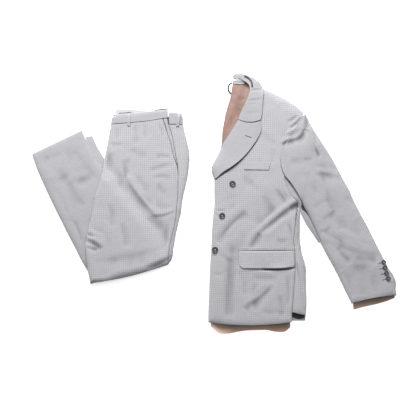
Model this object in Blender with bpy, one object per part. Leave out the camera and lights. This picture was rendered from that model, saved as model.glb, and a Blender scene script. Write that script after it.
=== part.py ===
"""A two-piece suit laid flat: trousers folded at the knee, and a jacket folded lengthwise.

Plan tables are in millimetres, +X across, +Y towards the collar, +Z up from the surface.
Every panel is a thin wall through section rows, over a height that the folded layers give.
"""

import math

import bmesh
import bpy
import numpy as np
from mathutils import Vector
from mathutils.bvhtree import BVHTree

MM = 0.001
WALL = 2.0
HALF_SEAM = 0.5
FACING_SEAM = 0.7
BAND_SEAM = 1.0
LAY_GAP = 0.6
LINING_WALL = 1.4
LINING_LOWEST = 3.4
BAND_WALL = 3.0
FAR_LEG_HEIGHT = 4.0
LAYERS_BELOW = 0.6
LAYERS_INSET = 3.5
TRIM_WALL = 1.6
SHANK_CLEARANCE = 0.8
LINING_BEHIND = 2.4
CENTRE = (-9.0, 9.219)
ROUND_POWER = 2.2
BLEND = 20.0
LINING_HEIGHTS = (1.8, 4.4)
UNDER_SLEEVE_HEIGHTS = (6.0, 14.0)
BACK_RIGHT_HEIGHT = 4.0
POCKET_SINK = 0.8
BAND_RISE = 1.2
TRIM_THIN = 1.0
BELT_LOOP_HALF = 4.5
FLAP_STANDOFF = 2.4
THINNEST = 1.5
LAPEL_TURN = 1.5
TRIM_REACH = 3.0
BUTTON_SIDES = 16
HOLE_SIDES = 5

# Colours of the cloth and trimmings, linear red, green and blue.
CLOTH = (0.50, 0.51, 0.54)
LINING = (0.36, 0.24, 0.19)
HEM_LINING = (0.24, 0.17, 0.13)
WHITE = (0.86, 0.86, 0.86)
HORN = (0.07, 0.075, 0.08)
BLACK = (0.02, 0.02, 0.022)

# Section rows across each panel.
# Columns: left_x, left_y, right_x, right_y.
JACKET_FRONT = [
    (-19, -383, 245, -382),
    (-18, -340, 247, -340),
    (-16, -295, 251, -295),
    (-15, -250, 255, -250),
    (-13, -205, 259, -205),
    (-10, -160, 258, -160),
    (-8, -118, 256, -118),
    (-6, -78, 261, -78),
    (-3, -44, 265, -40),
    (1, -8, 273, -4),
    (1, 24, 251, 20),
    (1, 54, 236, 52),
    (3, 80, 226, 86),
    (2, 108, 216, 124),
    (9, 138, 217, 156),
    (24, 170, 230, 188),
    (36, 200, 248, 211),
    (54, 228, 264, 233),
    (74, 262, 276, 256),
    (98, 304, 287, 278),
    (118, 346, 293, 289),
    (152, 386, 299, 303),
]

JACKET_SIDE = [
    (246.4, -351, 289, -362),
    (247, -340, 292, -330),
    (251, -295, 293, -285),
    (255, -250, 293, -240),
    (259, -205, 291, -200),
    (258, -160, 281, -160),
    (256, -118, 276, -118),
    (261, -78, 277, -78),
    (266.5, -40, 278.5, -40),
    (275.5, -5, 279.5, -7),
]

JACKET_UNDER = [
    (246.4, -377, 288, -377),
    (246.4, -364, 288.5, -362),
    (247, -350.8, 287.5, -332),
]

TOP_SLEEVE = [
    (290, 284, 304, 300),
    (266, 234, 324, 257),
    (232, 188, 345, 221),
    (219, 156, 363, 191),
    (218, 124, 381, 161),
    (228, 92, 399, 127),
    (248, 66, 420, 83),
    (266, 38, 439, 47),
    (284, 4, 455, 7),
    (302, -37, 474, -34),
    (320, -76, 494, -73),
    (338, -118, 514, -117),
    (358, -162, 536, -164),
    (381, -206, 556, -207),
    (402, -250, 577, -247),
    (419, -288, 578, -280),
    (436, -324, 580, -298),
]

UNDER_SLEEVE = [
    (229, 84, 233, 88),
    (240, 54, 252, 56),
    (254, 22, 272, 26),
    (281, -2, 286, -4),
    (284, -32, 298, -34),
    (294, -62, 312, -62),
    (312, -91, 325, -90),
    (336, -128, 341, -127),
]

BODY_LAYERS = [
    (-12, -372, 243, -372),
    (-12, -350, 243, -350),
    (-11, -322, 286, -330),
    (-9, -286, 288, -292),
    (-8, -244, 288, -244),
    (-7, -202, 286, -202),
    (-4, -160, 277, -160),
    (-2, -118, 272, -118),
    (0, -78, 273, -78),
    (4, -42, 273, -42),
    (7, -8, 266, -6),
    (8, 24, 247, 18),
    (8, 54, 232, 50),
    (9, 80, 221, 84),
    (9, 108, 211, 122),
    (14, 138, 212, 158),
    (26, 170, 226, 190),
    (34, 204, 244, 213),
    (40, 240, 260, 235),
    (48, 282, 271, 258),
    (60, 330, 279, 276),
    (72, 374, 284, 288),
    (100, 398, 286, 296),
]

BACK_LINING = [
    (23, 186, 30, 185),
    (26, 212, 48, 210),
    (28, 242, 64, 238),
    (34, 278, 84, 272),
    (42, 316, 104, 308),
    (53, 352, 124, 344),
    (59, 382, 138, 374),
    (63, 408, 136, 400),
    (66, 424, 126, 412),
]

LAPEL = [
    (-1, 82, 6, 79),
    (-7, 107, 30, 100),
    (-5, 124, 50, 112),
    (4, 143, 72, 128),
    (14, 162, 94, 148),
    (22, 180, 112, 168),
    (31, 198, 128, 190),
    (44, 217, 142, 212),
    (59, 241, 153, 237),
    (79, 275, 152, 268),
]

COLLAR = [
    (80, 278, 152, 274),
    (88, 300, 157, 296),
    (98, 322, 159, 320),
    (109, 345, 161, 346),
    (117, 368, 164, 371),
    (119, 384, 161, 388),
    (114, 398, 150, 405),
    (102, 409, 127, 423),
]

COLLAR_STAND = [
    (102, 409, 127, 423),
    (84, 418, 90, 437),
    (65, 419, 65, 433),
]

# The lining's free edge past the hem, the cuff and the waistband.
# Columns: x, y.
HEM_LINING_EDGE = [
    (-10, -396),
    (14, -416),
    (44, -418),
    (77, -412),
    (108, -408),
    (140, -407),
    (166, -407),
    (193, -412),
    (222, -412),
    (240, -399),
]

CUFF_LINING_EDGE = [
    (442, -343),
    (472, -335),
    (513, -326),
    (546, -317),
    (574, -306),
]

WAISTBAND_LINING_EDGE = [
    (-326, 317),
    (-295, 319),
    (-262, 316),
    (-221, 312),
]

# Section rows across the trouser pieces.
# Columns: left_x, left_y, right_x, right_y.
TROUSER_FRONT = [
    (-341, 263, -169, 281),
    (-345, 235, -155, 236),
    (-350, 200, -143, 200),
    (-356, 165, -134, 160),
    (-362, 130, -122, 124),
    (-366, 92, -117, 92),
    (-376, 56, -117, 56),
    (-386, 20, -118, 20),
    (-391, -18, -121, -18),
    (-398, -58, -124, -55),
    (-407, -98, -131, -92),
    (-412, -140, -139, -126),
    (-408, -182, -143, -152),
    (-401, -222, -145, -174),
    (-394, -261, -148, -201),
]

POCKET_FACING = [
    (-169, 281, -154, 283),
    (-160, 257, -150, 262),
    (-155, 236, -141, 236),
    (-143, 200, -133, 200),
    (-134, 160, -126, 160),
    (-122, 130, -119.5, 130),
]

TROUSER_BACK = [
    (-150, 261, -101, 261),
    (-141, 236, -96, 236),
    (-133, 200, -87, 200),
    (-126, 160, -81, 160),
    (-119, 126, -82, 126),
    (-117, 92, -86, 92),
    (-117, 56, -93, 56),
    (-118, 20, -101, 20),
    (-121, -18, -106, -18),
    (-124, -55, -113, -55),
    (-131, -92, -121, -92),
    (-139, -126, -127, -126),
    (-143, -152, -131, -150),
    (-145, -174, -133, -168),
    (-148, -201, -138, -186),
]

THIGH_LAYERS = [
    (-333, 284, -107, 286),
    (-337, 262, -105, 262),
    (-341, 235, -101, 236),
    (-346, 200, -92, 200),
    (-352, 165, -86, 160),
    (-358, 130, -87, 126),
    (-362, 92, -91, 92),
    (-372, 56, -98, 56),
    (-382, 20, -106, 20),
    (-387, -18, -111, -18),
    (-394, -58, -118, -55),
    (-402, -98, -126, -92),
    (-407, -140, -132, -126),
    (-403, -182, -137, -150),
    (-396, -222, -139, -168),
    (-387, -254, -147, -194),
]

WAISTBAND_FRONT = [
    (-341, 264, -338, 288),
    (-316, 266, -318, 300),
    (-288, 268, -288, 303),
    (-250, 271, -248, 305),
    (-214, 275, -212, 309),
    (-184, 280, -181, 314),
    (-153, 285, -153, 317),
]

WAISTBAND_BACK = [
    (-147, 263, -148, 301),
    (-132, 263, -132, 303),
    (-114, 263, -115, 302),
    (-102, 263, -103, 293),
]

LOWER_LEG = [
    (-598, 164, -437, 245),
    (-580, 117, -414, 197),
    (-556, 65, -388, 144),
    (-530, 12, -350, 98),
    (-502, -42, -312, 46),
    (-474, -95, -272, -4),
    (-446, -146, -230, -52),
    (-419, -196, -192, -106),
    (-394, -234, -170, -150),
]

FAR_LEG_HEM = [
    (-424, 222, -401, 226),
    (-411, 191, -387, 194),
    (-398, 164, -374, 172),
    (-385, 139, -360, 148),
    (-373, 125, -348, 132),
]

# Heights of the folded garments: the top of the cloth inside, at its outline, and how far in
# from the outline it rounds over.
# Columns: x, y, top, edge, round.
JACKET_LEVELS = [
    (-15, -300, 19, 9, 26),
    (-5, -60, 20, 9, 28),
    (0, 120, 22, 10, 30),
    (110, -400, 18, 10, 22),
    (120, -100, 21, 12, 40),
    (245, -385, 19, 13, 26),
    (290, -345, 20, 10, 24),
    (290, -220, 20, 5, 24),
    (276, -60, 21, 5, 24),
    (240, 100, 25, 6, 36),
    (40, 300, 21, 12, 20),
    (75, 425, 20, 14, 18),
    (160, 370, 27, 7, 34),
    (230, 330, 27, 5, 38),
    (320, 250, 26, 4, 38),
    (400, 110, 21, 4, 36),
    (470, -30, 19, 4, 34),
    (345, -140, 19, 7, 24),
    (540, -180, 17, 4, 30),
    (575, -290, 14, 5, 22),
    (430, -320, 14, 7, 18),
    (500, -312, 13, 9, 16),
]

THIGH_LEVELS = [
    (-341, 265, 13, 7, 16),
    (-355, 180, 14, 7, 18),
    (-250, 200, 14, 9, 20),
    (-150, 290, 14, 8, 14),
    (-95, 230, 13, 4, 18),
    (-85, 120, 14, 4, 20),
    (-105, 0, 14, 4, 18),
    (-130, -120, 14, 4, 18),
    (-366, 120, 14, 12, 16),
    (-378, 60, 14, 18, 14),
    (-395, -50, 14, 19, 16),
    (-410, -140, 14, 18, 18),
    (-398, -232, 14, 17, 16),
    (-392, -258, 14, 7, 16),
    (-270, -238, 15, 4, 24),
    (-150, -200, 14, 4, 20),
    (-230, -120, 15, 12, 24),
    (-180, 60, 14, 12, 20),
    (-300, 0, 14, 18, 24),
]

SHANK_LEVELS = [
    (-595, 161, 10, 6, 14),
    (-500, 100, 11, 6, 18),
    (-437, 240, 10, 6, 14),
    (-480, -90, 11, 5, 18),
    (-420, -170, 11, 5, 18),
    (-408, 182, 11, 6.8, 20),
    (-362, 112, 11, 6.4, 36),
    (-290, 20, 11, 4, 50),
    (-200, -90, 11, 4, 50),
    (-260, -180, 11, 5, 20),
]

# Broad soft folds: a ridge where the height is positive, a trough where it is negative.
# Columns: start_x, start_y, end_x, end_y, half_width, height.
JACKET_FOLDS = [
    (268, -8, 206, -56, 16, 2.2),
    (206, -56, 152, -108, 16, 2.0),
    (196, -24, 140, -70, 20, -1.8),
    (100, -48, 16, -129, 22, 1.8),
    (60, -140, 44, -360, 20, -1.8),
    (196, -279, 107, -329, 18, 1.4),
    (180, 60, 90, -20, 30, 1.2),
    (330, 180, 400, 95, 20, -1.6),
    (350, 60, 440, 20, 20, 1.6),
    (400, -60, 480, -90, 20, -1.5),
    (418, -145, 500, -168, 20, 1.8),
    (440, -230, 520, -240, 20, -1.4),
]

THIGH_FOLDS = [
    (-286, 84, -188, -41, 16, 2.2),
    (-188, -41, -132, -34, 14, 1.6),
    (-400, -120, -350, -130, 16, 1.6),
    (-300, 220, -320, 120, 20, 1.0),
    (-330, -200, -220, -190, 20, -1.4),
]

SHANK_FOLDS = [
    (-560, 120, -470, -60, 18, 0.9),
    (-480, 180, -420, 60, 18, -0.8),
]

# The fold of the lapel, where the jacket opens at the neck.
# Columns: x, y.
ROLL_LINE = [
    (-12, 60),
    (-7, 107),
    (4, 143),
    (22, 180),
    (44, 215),
    (79, 275),
    (98, 320),
    (118, 372),
    (126, 440),
]

# How far the thigh rises over the lower leg, and over what width past the leg's edge.
LEG_RISE = 12.0
LEG_RISE_OUT = 40.0
LEG_RISE_IN = 25.0

# How far the lapel's free edge stands off, a value for each of its rows.
LAPEL_LIFT = [1, 6, 9, 7, 4, 2, 1, 0.6, 0.4, 0.2]

# How far the neck opening sinks, and between which distances inside the roll line.
NECK_DROP = 9.5
NECK_DROP_FROM = 46.0
NECK_DROP_TO = 28.0

FRONT_BUTTONS = [(60, 60), (26, -45), (3, -155)]
FRONT_BUTTON_RADIUS = 10.0
SLEEVE_BUTTONS = [(541, -194), (544, -212), (548, -229), (553, -246)]
SLEEVE_BUTTON_RADIUS = 7.5

# Corners of small flat pieces, each from its lower left round to its upper left.
LABEL = ((66, 403), (101, 401), (101, 415), (66, 417))
WELT = ((98, 108), (177, 106), (183, 130), (103, 130))
JETTING = ((78, -156), (256, -157), (256, -150), (79, -149))

# Section rows of the hip pocket flap, from its seam down.
# Columns: left_x, left_y, right_x, right_y.
FLAP = [
    (80, -158, 254, -159),
    (79, -172, 255, -172),
    (79, -186, 255, -187),
    (80, -200, 254, -201),
    (84, -208, 250, -209),
    (92, -213, 242, -214),
]

# The two ends of each belt loop's middle line. Columns: top_x, top_y, foot_x, foot_y.
BELT_LOOP_FRONT = (-282, 304, -281, 258)
BELT_LOOP_BACK = (-114, 299, -120, 256)

# The tape's arcs. Columns: middle_x, middle_y, radius, first_turn, last_turn.
LOOP_RIGHT = (88, 390, 40, -5, 68)
LOOP_LEFT = (66.5, 389, 19, 106, 256)
LOOP_HALF_WIDTH = 1.6

# The side of a stack of layers, from its top down. Columns: share of height, depth of groove.
LAYER_EDGE = [(1.0, 1.6), (0.82, 0.0), (0.66, 2.0), (0.50, 0.0), (0.33, 2.0), (0.16, 0.0), (0.0, 1.0)]

# Half a button's section. Columns: share of radius, share of thickness.
BUTTON_PROFILE = [
    (0.0, 0.40),
    (0.66, 0.40),
    (0.82, 0.54),
    (1.0, 0.38),
    (1.0, 0.12),
    (0.86, 0.0),
    (0.0, 0.0),
]
BUTTON_THICKNESS = 0.62
HOLE_PLACE = 0.26
HOLE_SIZE = 0.11


def spline(points, places):
    """Points on a smooth curve through the given points, at places counted in rows."""
    table = np.array(points, float)
    last = len(table) - 1
    out = []
    for place in places:
        row = min(int(place), last - 1)
        t = place - row
        before = table[max(row - 1, 0)]
        start = table[row]
        end = table[row + 1]
        after = table[min(row + 2, last)]
        slope_in = (end - before) / 2
        slope_out = (after - start) / 2
        out.append(
            start * (2 * t**3 - 3 * t**2 + 1)
            + slope_in * (t**3 - 2 * t**2 + t)
            + end * (3 * t**2 - 2 * t**3)
            + slope_out * (t**3 - t**2)
        )
    return np.array(out)


def shares(count, crowd=0.5):
    """Shares from 0 to 1, closer together near both ends."""
    even = np.linspace(0, 1, count + 1)
    return even * (1 - crowd) + (0.5 - 0.5 * np.cos(math.pi * even)) * crowd


def loft(rows, steps, columns, inset=(0, 0, 0, 0), bow=(0, 0), crowd=0.5):
    """Plan points across section rows. Insets trim the left, right, first and last edges."""
    last = len(rows) - 1
    ends = spline(rows, np.linspace(0, last, last * steps + 1))
    middle = (ends[:, :2] + ends[:, 2:]) / 2
    length = np.linalg.norm(np.diff(middle, axis=0), axis=1).sum()
    trimmed = np.linspace(inset[2] / length, 1 - inset[3] / length, last * steps + 1)
    ends = spline(rows, trimmed * last)
    left = ends[:, :2]
    right = ends[:, 2:]
    across = right - left
    width = np.linalg.norm(across, axis=1)[:, None]
    direction = across / np.maximum(width, 1e-6)
    room = np.minimum(1, width * 0.4 / max(inset[0], inset[1], 1e-6))
    left = left + direction * inset[0] * room
    right = right - direction * inset[1] * room
    grid = []
    for number, place in enumerate(np.linspace(0, 1, len(left))):
        lean = bow[0] * max(0, 1 - place * 4) + bow[1] * max(0, place * 4 - 3)
        normal = np.array([-direction[number][1], direction[number][0]])
        line = []
        for share in shares(columns, crowd):
            point = left[number] + (right[number] - left[number]) * share
            line.append(point + normal * lean * 4 * share * (1 - share))
        grid.append(line)
    return np.array(grid)


def distance_to(path, x, y):
    """Distance from each point to an open or closed run of plan points."""
    nearest = np.full(np.shape(x), 1e9)
    for (ax, ay), (bx, by) in zip(path[:-1], path[1:]):
        run_x = bx - ax
        run_y = by - ay
        t = ((x - ax) * run_x + (y - ay) * run_y) / max(run_x**2 + run_y**2, 1e-9)
        t = np.clip(t, 0, 1)
        nearest = np.minimum(nearest, np.hypot(x - ax - t * run_x, y - ay - t * run_y))
    return nearest


def side_of(path, x, y):
    """Signed distance to an open path, positive on its right as it is walked."""
    nearest = np.full(np.shape(x), 1e9)
    signed = np.full(np.shape(x), 1e9)
    for (ax, ay), (bx, by) in zip(path[:-1], path[1:]):
        run_x = bx - ax
        run_y = by - ay
        t = np.clip(((x - ax) * run_x + (y - ay) * run_y) / (run_x**2 + run_y**2), 0, 1)
        gap = np.hypot(x - ax - t * run_x, y - ay - t * run_y)
        turn = (x - ax) * run_y - (y - ay) * run_x
        signed = np.where(gap < nearest, np.where(turn >= 0, gap, -gap), signed)
        nearest = np.minimum(nearest, gap)
    return signed


def ease(t):
    """A soft step from 0 to 1."""
    t = np.clip(t, 0, 1)
    return t * t * (3 - 2 * t)


def level(table, x, y):
    """Top height, outline height and rounding width, blended from the nearest table rows."""
    total = np.zeros(np.shape(x))
    values = [np.zeros(np.shape(x)) for _ in range(3)]
    for px, py, top, edge, rounding in table:
        weight = 1 / ((x - px) ** 2 + (y - py) ** 2 + BLEND**2) ** 2
        total = total + weight
        for index, value in enumerate((top, edge, rounding)):
            values[index] = values[index] + weight * value
    return [value / total for value in values]


def relief(folds, x, y):
    """Height that the soft folds add."""
    rise = np.zeros(np.shape(x))
    for ax, ay, bx, by, half_width, height in folds:
        run_x = bx - ax
        run_y = by - ay
        length = math.hypot(run_x, run_y)
        along = ((x - ax) * run_x + (y - ay) * run_y) / length
        off = np.abs((x - ax) * run_y - (y - ay) * run_x) / length
        fade_in = ease((along + half_width) / (2 * half_width))
        fade_out = ease((length + half_width - along) / (2 * half_width))
        rise = rise + height * fade_in * fade_out * (1 - ease(off / (2 * half_width)))
    return rise


def outline(*runs):
    """A closed outline from runs of plan points."""
    points = [tuple(point) for run in runs for point in run]
    return points + [points[0]]


def lefts(rows):
    return [(row[0], row[1]) for row in rows]


def rights(rows):
    return [(row[2], row[3]) for row in rows]


JACKET_OUTLINE = outline(
    lefts(JACKET_FRONT)[:12],
    lefts(LAPEL)[:6],
    lefts(BACK_LINING),
    [(65, 433)],
    rights(COLLAR)[::-1][:4],
    [(194, 373), (232, 354), (268, 331)],
    rights(JACKET_FRONT)[-1:],
    rights(TOP_SLEEVE),
    [(545, -298), (522, -303), (496, -310), (463, -318)],
    lefts(TOP_SLEEVE)[:8:-1],
    [(282, 0)],
    rights(JACKET_SIDE)[::-1],
    [(247, -362), (245, -382), (193, -384), (150, -391), (108, -394), (56, -389)],
)

THIGH_OUTLINE = outline(
    lefts(TROUSER_FRONT),
    [(-332, -254), (-268, -238), (-205, -222)],
    rights(TROUSER_FRONT)[-1:],
    rights(TROUSER_BACK)[::-1],
    [(-103, 293), (-116, 303), (-153, 316), (-250, 305), (-320, 300), (-338, 288)],
)

SHANK_OUTLINE = outline(lefts(LOWER_LEG), rights(LOWER_LEG)[::-1])
LEG_EDGE = rights(LOWER_LEG)[2:] + [(-120, -200)]


def garment_height(table, folds, border, x, y, rise=0.0):
    """Top of the outermost cloth over a folded garment."""
    top, edge, rounding = level(table, x, y)
    top = top + rise
    inward = np.clip(distance_to(border, x, y) / rounding, 0, 1)
    curve = (1 - (1 - inward) ** ROUND_POWER) ** (1 / ROUND_POWER)
    return edge + (top - edge) * curve + relief(folds, x, y) * inward


def jacket_top(x, y):
    return garment_height(JACKET_LEVELS, JACKET_FOLDS, JACKET_OUTLINE, x, y)


def leg_rise(x, y):
    """How far the thigh is lifted where the lower leg lies folded beneath it."""
    return LEG_RISE * ease((side_of(LEG_EDGE, x, y) + LEG_RISE_OUT) / (LEG_RISE_OUT + LEG_RISE_IN))


def thigh_top(x, y):
    return garment_height(THIGH_LEVELS, THIGH_FOLDS, THIGH_OUTLINE, x, y, leg_rise(x, y))


def shank_top(x, y):
    return garment_height(SHANK_LEVELS, SHANK_FOLDS, SHANK_OUTLINE, x, y)


def neck_drop(x, y):
    """How far the layers sink inside the neck opening, left of the roll line."""
    inside = side_of(ROLL_LINE, x, y)
    above = ease((y - 150) / 60)
    return NECK_DROP * above * ease((NECK_DROP_FROM - inside) / (NECK_DROP_FROM - NECK_DROP_TO))


MATERIALS = {}


def material(name, colour, roughness):
    """One Principled material for each kind of surface."""
    if name not in MATERIALS:
        made = bpy.data.materials.new(name)
        made.use_nodes = True
        shader = made.node_tree.nodes["Principled BSDF"]
        shader.inputs["Base Color"].default_value = (*colour, 1)
        shader.inputs["Roughness"].default_value = roughness
        shader.inputs["Metallic"].default_value = 0
        MATERIALS[name] = made
    return MATERIALS[name]


def add_object(name, points, faces, finish):
    """A mesh object from points in millimetres, faces turned outward."""
    mesh = bpy.data.meshes.new(name)
    placed = [((x - CENTRE[0]) * MM, (y - CENTRE[1]) * MM, z * MM) for x, y, z in points]
    mesh.from_pydata(placed, [], faces)
    shape = bmesh.new()
    shape.from_mesh(mesh)
    bmesh.ops.recalc_face_normals(shape, faces=shape.faces)
    shape.to_mesh(mesh)
    shape.free()
    mesh.materials.append(finish)
    mesh.shade_smooth()
    mesh.set_sharp_from_angle(angle=math.radians(40))
    made = bpy.data.objects.new(name, mesh)
    bpy.context.collection.objects.link(made)
    return made


def rim_of(rows, columns):
    """Indices round the border of a grid, once."""
    rim = [(0, j) for j in range(columns)]
    rim += [(i, columns - 1) for i in range(1, rows)]
    rim += [(rows - 1, j) for j in range(columns - 2, -1, -1)]
    rim += [(i, 0) for i in range(rows - 2, 0, -1)]
    return rim


def wall(name, plan, upper, lower, finish):
    """A thin closed solid between two height grids over the same plan points."""
    rows, columns = plan.shape[:2]
    count = rows * columns
    points = []
    for heights in (upper, lower):
        for i in range(rows):
            for j in range(columns):
                points.append((plan[i, j, 0], plan[i, j, 1], heights[i, j]))
    faces = []
    for i in range(rows - 1):
        for j in range(columns - 1):
            a = i * columns + j
            quad = (a, a + 1, a + columns + 1, a + columns)
            faces.append(quad)
            faces.append(tuple(count + k for k in reversed(quad)))
    rim = [i * columns + j for i, j in rim_of(rows, columns)]
    for a, b in zip(rim, rim[1:] + rim[:1]):
        faces.append((a, b, count + b, count + a))
    return add_object(name, points, faces, finish)


def layered(name, plan, upper, finish, lower=None):
    """A rounded solid of hidden layers, its sides scalloped like stacked folds."""
    rows, columns = plan.shape[:2]
    rim = rim_of(rows, columns)
    border = np.array([plan[i, j] for i, j in rim])
    run = np.roll(border, -1, axis=0) - np.roll(border, 1, axis=0)
    normal = np.stack([-run[:, 1], run[:, 0]], axis=1)
    normal /= np.maximum(np.linalg.norm(normal, axis=1), 1e-6)[:, None]
    turning = border[:, 0] * np.roll(border[:, 1], -1) - np.roll(border[:, 0], -1) * border[:, 1]
    if turning.sum() < 0:
        normal = -normal
    points = []
    faces = []
    for i in range(rows):
        for j in range(columns):
            points.append((*plan[i, j], upper[i, j]))
    for i in range(rows - 1):
        for j in range(columns - 1):
            a = i * columns + j
            faces.append((a, a + 1, a + columns + 1, a + columns))
    ring = [i * columns + j for i, j in rim]
    base = np.zeros(len(rim)) if lower is None else np.array([lower[i, j] for i, j in rim])
    tops = np.array([upper[i, j] for i, j in rim])
    for height, depth in LAYER_EDGE[1:]:
        start = len(points)
        push = LAYER_EDGE[0][1] - depth
        for k, (x, y) in enumerate(border):
            out = -normal[k] * push
            points.append((x + out[0], y + out[1], base[k] + (tops[k] - base[k]) * height))
        fresh = list(range(start, start + len(rim)))
        for k in range(len(rim)):
            after = (k + 1) % len(rim)
            faces.append((ring[k], ring[after], fresh[after], fresh[k]))
        ring = fresh
    if lower is None:
        faces.append(tuple(reversed(ring)))
    else:
        close_below(points, faces, plan, lower, ring)
    return add_object(name, points, faces, finish)


def close_below(points, faces, plan, lower, ring):
    """An underside that follows what lies beneath it."""
    rows, columns = plan.shape[:2]
    place = {}
    for number, (i, j) in enumerate(rim_of(rows, columns)):
        place[i, j] = ring[number]
    for i in range(1, rows - 1):
        for j in range(1, columns - 1):
            place[i, j] = len(points)
            points.append((*plan[i, j], lower[i, j]))
    for i in range(rows - 1):
        for j in range(columns - 1):
            faces.append((place[i, j], place[i + 1, j], place[i + 1, j + 1], place[i, j + 1]))


def lining_wall(name, edge, hem, finish, behind=-LINING_BEHIND):
    """A thin lining that slopes from beneath a hem down to the surface."""
    rows = [(x, y, x, np.interp(x, hem[:, 0], hem[:, 1]) + behind) for x, y in edge]
    plan = loft(rows, 2, 3)
    upper = np.broadcast_to(np.linspace(*LINING_HEIGHTS, 4), plan.shape[:2])
    return wall(name, plan, upper, np.zeros(plan.shape[:2]), finish)


class Surface:
    """The top faces of pieces that are built already, to lay other pieces on."""

    def __init__(self, *pieces):
        points = []
        faces = []
        for piece in pieces:
            start = len(points)
            points += [vertex.co.copy() for vertex in piece.data.vertices]
            faces += [[start + k for k in face.vertices] for face in piece.data.polygons]
        self.tree = BVHTree.FromPolygons(points, faces)

    def height(self, x, y, missing=0.0):
        """Height of the top above a plan point."""
        start = Vector(((x - CENTRE[0]) * MM, (y - CENTRE[1]) * MM, 1))
        hit = self.tree.ray_cast(start, Vector((0, 0, -1)))
        return missing if hit[0] is None else hit[0].z / MM

    def underside(self, x, y, missing=99.0):
        """Height of the lowest face over a plan point."""
        start = Vector(((x - CENTRE[0]) * MM, (y - CENTRE[1]) * MM, -1))
        hit = self.tree.ray_cast(start, Vector((0, 0, 1)))
        return missing if hit[0] is None else hit[0].z / MM

    def over(self, plan, reach=5.0, missing=0.0):
        """The highest point near each plan point."""
        return near(plan, reach, lambda x, y: self.height(x, y, missing), max)

    def under(self, plan, reach=12.0):
        """The lowest underside near each plan point."""
        return near(plan, reach, self.underside, min)


def near(plan, reach, measure, choose):
    """The chosen measure among samples round each plan point."""
    turns = [math.pi / 4 * k for k in range(8)]
    around = [(0, 0)]
    for part in (0.2, 0.4, 0.7, 1):
        around += [(math.cos(t) * reach * part, math.sin(t) * reach * part) for t in turns]
    out = np.zeros(plan.shape[:2])
    for i in range(plan.shape[0]):
        for j in range(plan.shape[1]):
            x, y = plan[i, j]
            out[i, j] = choose(measure(x + dx, y + dy) for dx, dy in around)
    return out


def build_trousers(cloth, white):
    """The folded trousers: lower legs first, then the thigh that lies on them."""
    plan = loft(LOWER_LEG, 2, 9)
    upper = shank_top(plan[..., 0], plan[..., 1])
    near_leg = wall("right_leg_lower", plan, upper, upper - WALL, cloth)
    on_leg = Surface(near_leg)

    inset = LAYERS_INSET
    inner = loft(LOWER_LEG, 1, 7, inset=(inset, inset, inset, inset))
    layered("lower_leg_layers", inner, on_leg.under(inner, reach=16) - LAYERS_BELOW, cloth)

    plan = loft(FAR_LEG_HEM, 1, 2)
    far_top = np.full(plan.shape[:2], FAR_LEG_HEIGHT)
    far_leg = wall("left_leg_hem", plan, far_top, np.zeros(plan.shape[:2]), cloth)

    front = loft(TROUSER_FRONT, 2, 12, inset=(0, HALF_SEAM, 0, 0), bow=(-3, -8))
    upper = thigh_top(front[..., 0], front[..., 1])
    front_panel = wall("left_leg_front", front, upper, upper - WALL, cloth)

    facing = loft(POCKET_FACING, 1, 2, inset=(FACING_SEAM, FACING_SEAM, 0, 0))
    upper = thigh_top(facing[..., 0], facing[..., 1]) - POCKET_SINK
    facing_panel = wall("pocket_facing", facing, upper, upper - WALL, cloth)

    back = loft(TROUSER_BACK, 2, 4, inset=(HALF_SEAM, 0, 0, 0))
    upper = thigh_top(back[..., 0], back[..., 1])
    back_panel = wall("left_leg_back", back, upper, upper - WALL, cloth)

    band = loft(WAISTBAND_FRONT, 2, 3, inset=(BAND_SEAM, 0, 0, 0))
    upper = thigh_top(band[..., 0], band[..., 1]) + BAND_RISE
    front_band = wall("waistband_front", band, upper, upper - BAND_WALL, cloth)

    band = loft(WAISTBAND_BACK, 2, 3, inset=(BAND_SEAM, 0, 0, 0))
    upper = thigh_top(band[..., 0], band[..., 1]) + BAND_RISE
    back_band = wall("waistband_back", band, upper, upper - BAND_WALL, cloth)

    inner = loft(THIGH_LAYERS, 1, 10, bow=(8, -8))
    cover = Surface(front_panel, facing_panel, back_panel, front_band, back_band)
    upper = cover.under(inner, reach=22) - LAYERS_BELOW
    leg = Surface(near_leg, far_leg).over(inner, reach=48)
    lower = np.where(leg > 0, leg + SHANK_CLEARANCE, 0)
    lower = np.minimum(lower, upper - THINNEST)
    layered("thigh_layers", inner, upper, cloth, lower)

    lining_wall("waistband_lining", WAISTBAND_LINING_EDGE, inner[0], white, LINING_BEHIND)

    belt_loop("belt_loop_front", BELT_LOOP_FRONT, Surface(front_band, front_panel), cloth)
    belt_loop("belt_loop_back", BELT_LOOP_BACK, Surface(back_band, back_panel), cloth)


def belt_loop(name, place, ground, finish):
    """A narrow strap laid over the waistband."""
    top_x, top_y, foot_x, foot_y = place
    rows = []
    for share in np.linspace(0, 1, 6):
        x = top_x + (foot_x - top_x) * share
        y = top_y + (foot_y - top_y) * share
        rows.append((x - BELT_LOOP_HALF, y, x + BELT_LOOP_HALF, y))
    plan = loft(rows, 1, 2)
    lower = ground.over(plan, reach=TRIM_REACH) + LAY_GAP
    wall(name, plan, lower + TRIM_WALL, lower, finish)


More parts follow.
